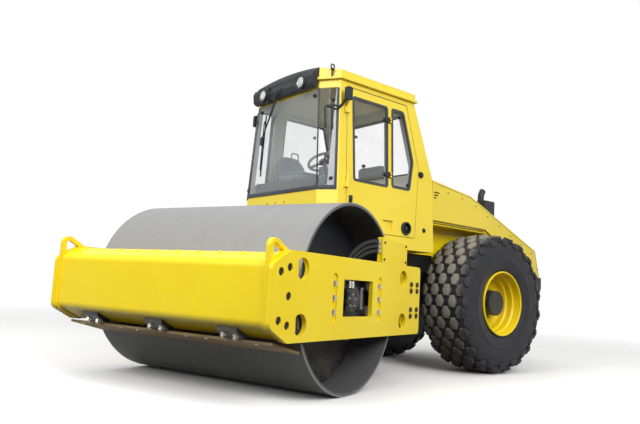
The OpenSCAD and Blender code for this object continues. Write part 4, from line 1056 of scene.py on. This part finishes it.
def makeDoorTrim(s):
    hinges, knuckles, stops = fresh(3)
    capX, capZ = s["capAt"]
    for z in s["hinges"]:
        at = Vector((s["post"], sideY(z), z))
        blockAt(hinges, at, *s["plate"])
        studAt(hinges, at + Vector((s["discX"], 0, 0)), *s["disc"])
        for v in (-1, 1):
            studAt(knuckles, at + Vector((capX, 0, v*capZ)), *s["cap"])
    for stud in ("stop", "plug"):
        x, z = s[stud + "At"]
        studAt(stops, (x, sideY(z), z), *s[stud])
    x, z = s["latchAt"]
    at = (x, sideY(s["latchFoot"]), z)
    blockAt(hinges, at, *s["latch"])
    studAt(hinges, at, *s["latchKnob"])
    x, z = s["leverAt"]  # inner door lever with its pull rod
    at = Vector((x, sideY(z) - s["leverIn"], z))
    blockAt(hinges, at, *s["lever"])
    addRod(hinges, *(at + Vector(end) for end in s["pull"]), s["pullRadius"], rounds=10)
    closePiece("windowHinges", hinges, "left_door", "black_plastic", rearPlace)
    closePiece("hingeCaps", knuckles, "left_door", "yellow_paint", rearPlace)
    closePiece("doorStops", stops, "chassis", "hose_rubber", rearPlace)


makeDoorTrim(doorSet)

# wiper: two parallel arms from the visor's middle to a long upright blade
wiperSet = {"pivots": ((0.738, -0.018, 2.810), (0.738, -0.075, 2.802)), "top": (-0.352, 2.604), "low": (-0.372, 1.945),
            "hold": 2.32, "arm": 0.006, "lift": 0.034, "blade": (0.009, 0.014), "carrier": (0.007, 0.009),
            "grips": (0.12, 0.5, 0.88), "grip": ((-0.006, -0.007, -0.016), (0.008, 0.007, 0.016), 0.003),
            "holder": ((0.014, -0.030, -0.045), (0.042, 0.010, 0.045), 0.007), "ahead": (0.009, 0.018, 0.026)}


def makeWiper(s):
    bm = bmesh.new()
    (topY, topZ), (lowY, lowZ), z = s["top"], s["low"], s["hold"]

    def onBlade(u, ahead):
        up = lowZ + u*(topZ - lowZ)
        return Vector((frontX(up) + ahead, lowY + u*(topY - lowY), up))

    x, y = frontX(z), onBlade((z - lowZ)/(topZ - lowZ), 0.0).y
    for i, pivot in enumerate(s["pivots"]):
        pivot = Vector(pivot)
        addRod(bm, pivot, (x + s["lift"], y - 0.006 - 0.018*i, z + 0.03*(1 - 2*i)), s["arm"], rounds=10)
        addRod(bm, pivot - Vector((0.022, 0, 0)), pivot + Vector((0.010, 0, 0)), 0.013, rounds=18, soft=0.003)
    blockAt(bm, (x, y, z), *s["holder"])
    blade, grip, carrier = s["ahead"]
    addBar(bm, onBlade(0, blade), onBlade(1, blade), *s["blade"], (1, 0, 0))
    for u in s["grips"]:  # the blade's carrier touches it at three places
        blockAt(bm, onBlade(u, grip), *s["grip"])
    end = (topZ - lowZ)*s["grips"][0]
    addBar(bm, (x + carrier, lowY, lowZ + end), (x + carrier, topY, topZ - end), *s["carrier"], (1, 0, 0))
    closePiece("screenWiper", bm, "chassis", "black_plastic", rearPlace)


makeWiper(wiperSet)

# mirror bracket: two bent rods ahead of the left post
bracketSet = {"radius": 0.0095, "rods": (
    ((0.500, 0.712, 2.585), (0.560, 0.735, 2.540), (0.601, 0.745, 2.508), (0.690, 0.772, 2.500), (0.712, 0.780, 2.496),
     (0.708, 0.780, 2.46), (0.693, 0.780, 2.265)),
    ((0.520, 0.712, 2.560), (0.580, 0.735, 2.500), (0.640, 0.745, 2.470), (0.750, 0.760, 2.478), (0.778, 0.760, 2.466),
     (0.775, 0.760, 2.43), (0.760, 0.760, 2.265)))}
for i, rod in enumerate(bracketSet["rods"]):
    bentRod("mirrorRod" + str(i + 1), rod, bracketSet["radius"], "chassis", "black_plastic", rearPlace)

# lifting eye on the roof's front left corner
roofEyeSet = {"at": (0.615, 0.640), "low": 2.80, "ring": 0.021, "wire": 0.007}


def makeRoofEye(s):
    bm, ring, onSide = bmesh.new(), bmesh.new(), Matrix.Rotation(math.pi/2, 4, "X")
    (x, y), z = s["at"], s["low"]
    addRod(bm, (x, y, z + 0.02), (x, y, z + 0.10), 0.009, rounds=12)
    addRod(bm, (x, y, z + 0.085), (x, y, z + 0.10), 0.02, rounds=16, soft=0.003)
    bmesh.ops.create_circle(ring, segments=12, radius=s["wire"], matrix=Matrix.Translation((s["ring"], 0, 0)) @ onSide)
    bmesh.ops.spin(ring, geom=ring.verts[:] + ring.edges[:], cent=(0, 0, 0), axis=(0, 0, 1), angle=math.tau,
                   steps=24, use_merge=True)
    joinInto(bm, ring, Matrix.Translation((x, y, z + 0.12)) @ onSide)
    closePiece("roofEyeBolt", bm, "chassis", "black_paint", rearPlace)


makeRoofEye(roofEyeSet)
print("cab trim done")

# visor top: carries the black moulding up to the roof's crown
visorSet = {"half": 0.5105, "low": 2.829, "high": 2.964, "crown": 3.4, "cuts": 15,
            "profile": ((0.673, 2.829), (0.719, 2.848), (0.7215, 2.872), (0.716, 2.900), (0.704, 2.934), (0.688, 2.958),
                        (0.673, 2.964))}


def makeVisorTop(s):
    bm = bmesh.new()
    bm.faces.new([bm.verts.new((x, -s["half"], z)) for x, z in s["profile"]])
    thicken(bm, (0, 2*s["half"], 0))
    along = [e for e in bm.edges if abs(e.verts[0].co.y - e.verts[1].co.y) > s["half"]]
    bmesh.ops.subdivide_edges(bm, edges=along, cuts=s["cuts"], use_grid_fill=True)
    for v in bm.verts:  # the top follows the crown across the roof
        v.co.z -= (v.co.z - s["low"])/(s["high"] - s["low"])*v.co.y**2/(2*s["crown"])
    closePiece("visorTop", bm, "chassis", "black_plastic", rearPlace, sharp=40)


makeVisorTop(visorSet)

# work lamps: reflector bowl behind a fluted dome
lampLow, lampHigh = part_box("work_lights")
lampSet = {"radius": 0.064, "inEnd": 0.0547, "flange": 0.003,
           "bowl": ((0.0, 0.004), (0.012, 0.005), (0.026, 0.010), (0.038, 0.018), (0.047, 0.028)),
           "bowlDeep": (0.036, 0.001), "bulb": ((0.0, 0.026), (0.006, 0.025), (0.009, 0.018), (0.009, 0.004)),
           # dome outside and inside, rim: radius, and how far behind the lamp's front
           "outside": ((0.0, 0.0), (0.02, 0.0015), (0.04, 0.006), (0.050, 0.009)), "edge": (0.012, 0.015),
           "inside": ((0.05, 0.012), (0.02, 0.0045), (0.0, 0.003)),
           "rim": ((-0.004, 0.006), (0.004, 0.002), (0.014, 0.004), (0.016, 0.012), (0.001, 0.014))}


def makeLamps(s):
    bowls, domes, rims = fresh(3)
    r, depth, (lip, back) = s["radius"], lampHigh.x - lampLow.x, s["bowlDeep"]
    bowl = [*s["bowl"], (r - s["flange"], lip), (r, lip), (r, back), (0.0, back)]
    dome = [*s["outside"], *((r, behind) for behind in s["edge"]), *s["inside"]]
    for y in (lampLow.y + s["inEnd"], lampHigh.y - s["inEnd"]):
        place = Matrix.Translation((lampLow.x, y, (lampLow.z + lampHigh.z)/2)) @ Matrix.Rotation(math.pi/2, 4, "Y")
        addTurned(bowls, bowl, 32, place)
        addTurned(bowls, s["bulb"], 16, place)
        addTurned(domes, [(at, depth - behind) for at, behind in dome], 32, place)
        addTurned(rims, [(r + over, depth - behind) for over, behind in s["rim"]], 40, place, closed=True)
    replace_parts(closePiece("lampReflectors", bowls, "chassis", "reflector"), "work_lights")
    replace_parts(closePiece("lampLenses", domes, "chassis", "lamp_glass"), "work_lights")
    closePiece("lampRims", rims, "chassis", "black_plastic")


makeLamps(lampSet)

# mirror glass on the heads, facing the rear
mirrorSet = {"deep": 0.040, "half": 0.016, "tall": 0.108, "edge": 0.010, "glass": (-0.0015, 0.001), "soft": 0.001}


def makeMirrorGlass(s):
    low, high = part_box("mirrors")
    bm, top, (back, front) = bmesh.new(), high.z - s["edge"], s["glass"]
    for y in (high.y - s["deep"]/2, low.y + s["deep"]/2):
        addBlock(bm, (low.x + back, y - s["half"], top - s["tall"]), (low.x + front, y + s["half"], top), s["soft"])
    closePiece("mirrorGlass", bm, "chassis", "reflector")


makeMirrorGlass(mirrorSet)

# hood: joint strips and screws along both creases, a flange along each lower edge
hoodSet = {"crease": ((-0.80, 2.024), (-1.5, 1.95), (-2.96, 1.44), (-3.07, 1.13)), "front": -0.795, "tail": -3.075,
           "half": 0.72, "tailHalf": 0.6, "under": 0.020, "strip": (0.004, 0.003), "gap": 0.27, "drop": 0.05,
           "screwDeep": (-0.002, 0.004), "screw": (0.009, 0.007), "skin": 0.0255, "flange": (0.052, 0.004),
           "lift": 0.002, "edge": ((-0.80, 1.598), (-1.811, 1.598), (-2.892, 1.103))}


def hoodPoint(s, x, z, v, inward=0.0):
    half = s["half"] + (x - s["front"])/(s["tail"] - s["front"])*(s["tailHalf"] - s["half"])
    return Vector((x, v*(half - inward), z))


def makeHoodTrim(s):
    strips, screws, flange = fresh(3)
    for v in (-1, 1):
        run = 0.0
        line = [hoodPoint(s, x, z - s["under"], v) for x, z in s["crease"]]
        for a, b in zip(line, line[1:]):
            addBar(strips, a, b, *s["strip"], (0, v, 0))
            length, at = (b - a).length, s["gap"] - run
            while at < length:
                p = a + (b - a)*(at/length)
                addRod(screws, *((p.x, p.y + v*y, p.z - s["drop"]) for y in s["screwDeep"]), *s["screw"], rounds=12)
                at += s["gap"]
            run = length - (at - s["gap"])
        for (xa, za), (xb, zb) in zip(s["edge"], s["edge"][1:]):  # turned-in edge over the fender
            lift = s["lift"] if za == zb else -s["lift"]
            ends = (hoodPoint(s, x, z + lift, v, s["skin"]) for x, z in ((xa, za), (xb, zb)))
            addBar(flange, *ends, *s["flange"], (0, v, 0))
    closeAll("engine_hood", rearPlace, ("hoodFlange", flange, "yellow_panel"), ("hoodJoints", strips, "seal"),
             ("hoodScrews", screws, "black_paint"))


makeHoodTrim(hoodSet)
print("hood trim done")


# cab inside: headliner under the roof, heater cover beside the dash, knobs, cover on the rear sill
insideSet = {"inset": 0.062, "liner": (2.789, 2.7995), "border": (0.05, 0.004), "spare": 0.0045,
             "lamp": (0.05, 0.0, 0.075),
             "lampForm": ((0.0, -0.010), (0.7, -0.009), (0.95, -0.004), (1.0, 0.004), (0.0, 0.004)),
             "heater": ((0.475, -0.645, 1.73), (0.605, -0.515, 1.905)),
             "cover": ((-0.672, -0.25, 2.092), (-0.575, 0.14, 2.225)),
             "knobs": ((0.640, -0.478, 1.842), (0.640, 0.090, 1.842)), "knob": 0.024, "latch": (-0.60, -0.17, 2.245)}


def makeInsideTrim(s):
    liner, trim, knobs = fresh(3)
    low, high = s["liner"]
    z = (low + high)/2
    side, half = sideY(z) - s["inset"], screenHalf(z) - s["inset"]*0.5
    front, corner, rear = frontX(z) - s["inset"], cornerX(z) - s["inset"], rearX(z) + s["inset"]
    outline = [(front, half), (corner, side), (rear, side), (rear, -side), (corner, -side), (front, -half)]
    face = liner.faces.new([liner.verts.new((x, y, low)) for x, y in outline])
    border, step = s["border"]
    bmesh.ops.inset_region(liner, faces=[face], thickness=border, depth=-step, use_even_offset=True, use_boundary=True)
    bmesh.ops.solidify(liner, geom=liner.faces[:], thickness=-(high - low - s["spare"]))
    x, y, r = s["lamp"]
    addTurned(trim, [(u*r, h) for u, h in s["lampForm"]], 28, Matrix.Translation((x, y, low + 0.002)))
    addBlock(trim, *s["heater"], 0.055, 6)
    addBlock(trim, *s["cover"], 0.040, 5)
    for at in s["knobs"]:
        addRod(knobs, at, Vector(at) + Vector((0.022, 0, 0.004)), s["knob"], s["knob"]*0.82, rounds=20, soft=0.006)
    at = Vector(s["latch"])
    addRod(knobs, at - Vector((0, 0, 0.04)), at, 0.009, rounds=12)
    addRod(knobs, at - Vector((0, 0, 0.008)), at + Vector((0, 0, 0.022)), 0.026, 0.020, rounds=8, soft=0.005)
    closeAll("chassis", rearPlace, ("cabHeadliner", liner, "headliner"), ("cabInsideTrim", trim, "trim"),
             ("cabInsideKnobs", knobs, "black_plastic"))


makeInsideTrim(insideSet)

# seat: two pads that swell by cloth pressure inside the CAD solids' room, piping round each, a bar on the back
seatSet = {"place": rearPlace @ Matrix.Translation((0.27, -0.2, 1.9)) @ Matrix.Rotation(math.pi/2, 4, "Z"),
           "voxel": 0.006, "pressure": 4.0, "frames": 20, "piping": 0.0045, "bar": 0.008,
           "barPoints": ((-0.252, 0.131, 0.300), (-0.258, 0.131, 0.345), (-0.262, 0.128, 0.384), (-0.262, 0.112, 0.390),
                         (-0.262, 0.055, 0.390), (-0.262, 0.038, 0.384), (-0.258, 0.035, 0.345),
                         (-0.252, 0.035, 0.300))}
cushionSet = {"outline": ((-0.146, -0.226), (0.236, -0.226), (0.236, 0.226), (-0.146, 0.226)),
              "corners": (0.05, 0.08, 0.08, 0.05), "low": 0.014, "high": 0.092, "cap": 0.014, "fill": 0.7,
              "pipingIn": 0.006, "place": Matrix()}
# the back is drawn lying down, then stood up with its lean
backSet = {"outline": ((-0.206, 0.020), (0.206, 0.020), (0.206, 0.335), (-0.206, 0.335)),
           "corners": (0.05, 0.05, 0.175, 0.175), "low": -0.218, "high": -0.170, "cap": 0.012, "fill": 0.65,
           "pipingIn": 0.004, "place": Matrix(((0, -0.16, 1, 0), (1, 0, 0, 0), (0, 1, 0, 0), (0, 0, 0, 1)))}


def padBlock(s):
    bm = bmesh.new()
    verts = [bm.verts.new((x, y, s["low"])) for x, y in s["outline"]]
    bm.faces.new(verts)
    for v, r in zip(verts, s["corners"]):
        soften(bm, [v], r, 7, "VERTICES")
    thicken(bm, (0, 0, s["high"] - s["low"]))
    bmesh.ops.transform(bm, matrix=seatSet["place"] @ s["place"], verts=bm.verts)
    bmesh.ops.recalc_face_normals(bm, faces=bm.faces)
    return bm


def makePad(name, s):
    obj = linkNew(name, meshOf(name, padBlock(s)))
    remesh = obj.modifiers.new("remesh", "REMESH")
    remesh.mode, remesh.voxel_size = "VOXEL", seatSet["voxel"]
    obj.data = shapeNow(obj)
    obj.modifiers.clear()
    swell = obj.modifiers.new("swell", "CLOTH")
    swell.settings.use_pressure, swell.settings.uniform_pressure_force = True, seatSet["pressure"]
    swell.settings.effector_weights.gravity = 0
    swell.point_cache.frame_end = seatSet["frames"]
    for f in range(1, seatSet["frames"] + 1):
        scene.frame_set(f)
    swollen = shapeNow(obj)
    for v, to in zip(obj.data.vertices, swollen.vertices):
        move = to.co - v.co
        v.co += move*min(1.0, s["cap"]/max(move.length, 1e-9))
    obj.modifiers.clear()
    bpy.data.meshes.remove(swollen)
    scene.frame_set(1)
    obj.data.materials.clear()
    obj.data.materials.append(finishes["seat_cloth"])
    obj.data.shade_smooth()
    fine = obj.modifiers.new("fine", "SUBSURF")
    fine.levels = fine.render_levels = 1
    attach(obj, "chassis")
    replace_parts(obj, "seat_cushions")
    return obj


# piping lies on the pad's skin, once round it near its upper face
def makePiping(name, pad, s):
    ring = list(s["outline"]) + list(s["outline"][:2])
    line = roundedLine(ring, max(s["corners"])*0.8)[1:-1]
    place, level = seatSet["place"] @ s["place"], s["high"] - s["pipingIn"]
    points = []
    for p in line + line[:1]:
        at, normal = pad.closest_point_on_mesh(place @ Vector((p.x*1.03, p.y*1.03, level)))[1:3]
        points.append(at + normal*0.001)
    bentRod(name, points, seatSet["piping"], "chassis", "seal", fine=3)


def makeSeat(s):
    cushion, back = makePad("seatCushion", cushionSet), makePad("seatBack", backSet)
    makePiping("cushionPiping", cushion, cushionSet)
    makePiping("backPiping", back, backSet)
    bentRod("headrestBar", s["barPoints"], s["bar"], "chassis", "trim", s["place"])


makeSeat(seatSet)
print("seat done")

# floor and soft studio light
floorSet = {"radius": 30.0, "tone": (250, 250, 249), "bounce": (30, 30, 30), "fadeFrom": 4.0, "fadeTo": 11.0}


def makeFloor(s):
    bm = bmesh.new()
    bmesh.ops.create_circle(bm, cap_ends=True, segments=64, radius=s["radius"])
    mesh = meshOf("floor", bm)
    m, tree, shader = newFinish("paleFloor")
    away = vectorNode(tree, "LENGTH", objectPlace(tree))["Value"]
    fade = rangeNode(tree, away, s["fadeFrom"], s["fadeTo"])
    colour = mixColour(tree, seenRays(tree), srgb(*s["bounce"]), srgb(*s["tone"]))
    feed(tree, shader, colour=colour, roughness=0.9)
    clear = addNode(tree, "ShaderNodeBsdfTransparent")
    both = addNode(tree, "ShaderNodeMixShader", {0: fade, 1: shader.outputs[0], 2: clear.outputs[0]})
    tree.links.new(both.outputs[0], tree.nodes["Material Output"].inputs["Surface"])
    mesh.materials.append(m)
    linkNew("floor", mesh)


makeFloor(floorSet)
worldSet = {"fill": 0.6, "low": 0.12, "sight": 1.0}


def makeWorld(s):
    world = bpy.data.worlds.new("studio")
    world.use_nodes = True
    tree = world.node_tree
    fill = tree.nodes["Background"]
    # the fill comes from above, as from a white studio ceiling
    direction = addNode(tree, "ShaderNodeTexCoord").outputs["Generated"]
    height = addNode(tree, "ShaderNodeSeparateXYZ", {0: direction}).outputs[2]
    setInputs(tree, fill, {0: white, 1: rangeNode(tree, height, 0.0, 0.5, s["fill"]*s["low"], s["fill"])})
    sight = addNode(tree, "ShaderNodeBackground", {0: white, 1: s["sight"]})
    both = addNode(tree, "ShaderNodeMixShader", {0: seenRays(tree), 1: fill.outputs[0], 2: sight.outputs[0]})
    tree.links.new(both.outputs[0], tree.nodes["World Output"].inputs["Surface"])
    scene.world = world


makeWorld(worldSet)
# lamp name, place, size and power; each looks at the object's middle
lampsSet = [("overhead", (0.5, 0.5, 8.0), 7.0, 170), ("sideKey", (1.5, 8.5, 6.0), 5.0, 660),
            ("frontFill", (9.0, 0.5, 5.6), 4.0, 500)]
lookAt = Vector((0, 0, 1))
for name, spot, size, power in lampsSet:
    data = bpy.data.lights.new(name, "AREA")
    data.shape, data.size, data.energy = "SQUARE", size, power
    turn = (lookAt - Vector(spot)).to_track_quat("-Z", "Y").to_matrix().to_4x4()
    linkNew(name, data).matrix_world = Matrix.Translation(spot) @ turn
print("stage and light done")
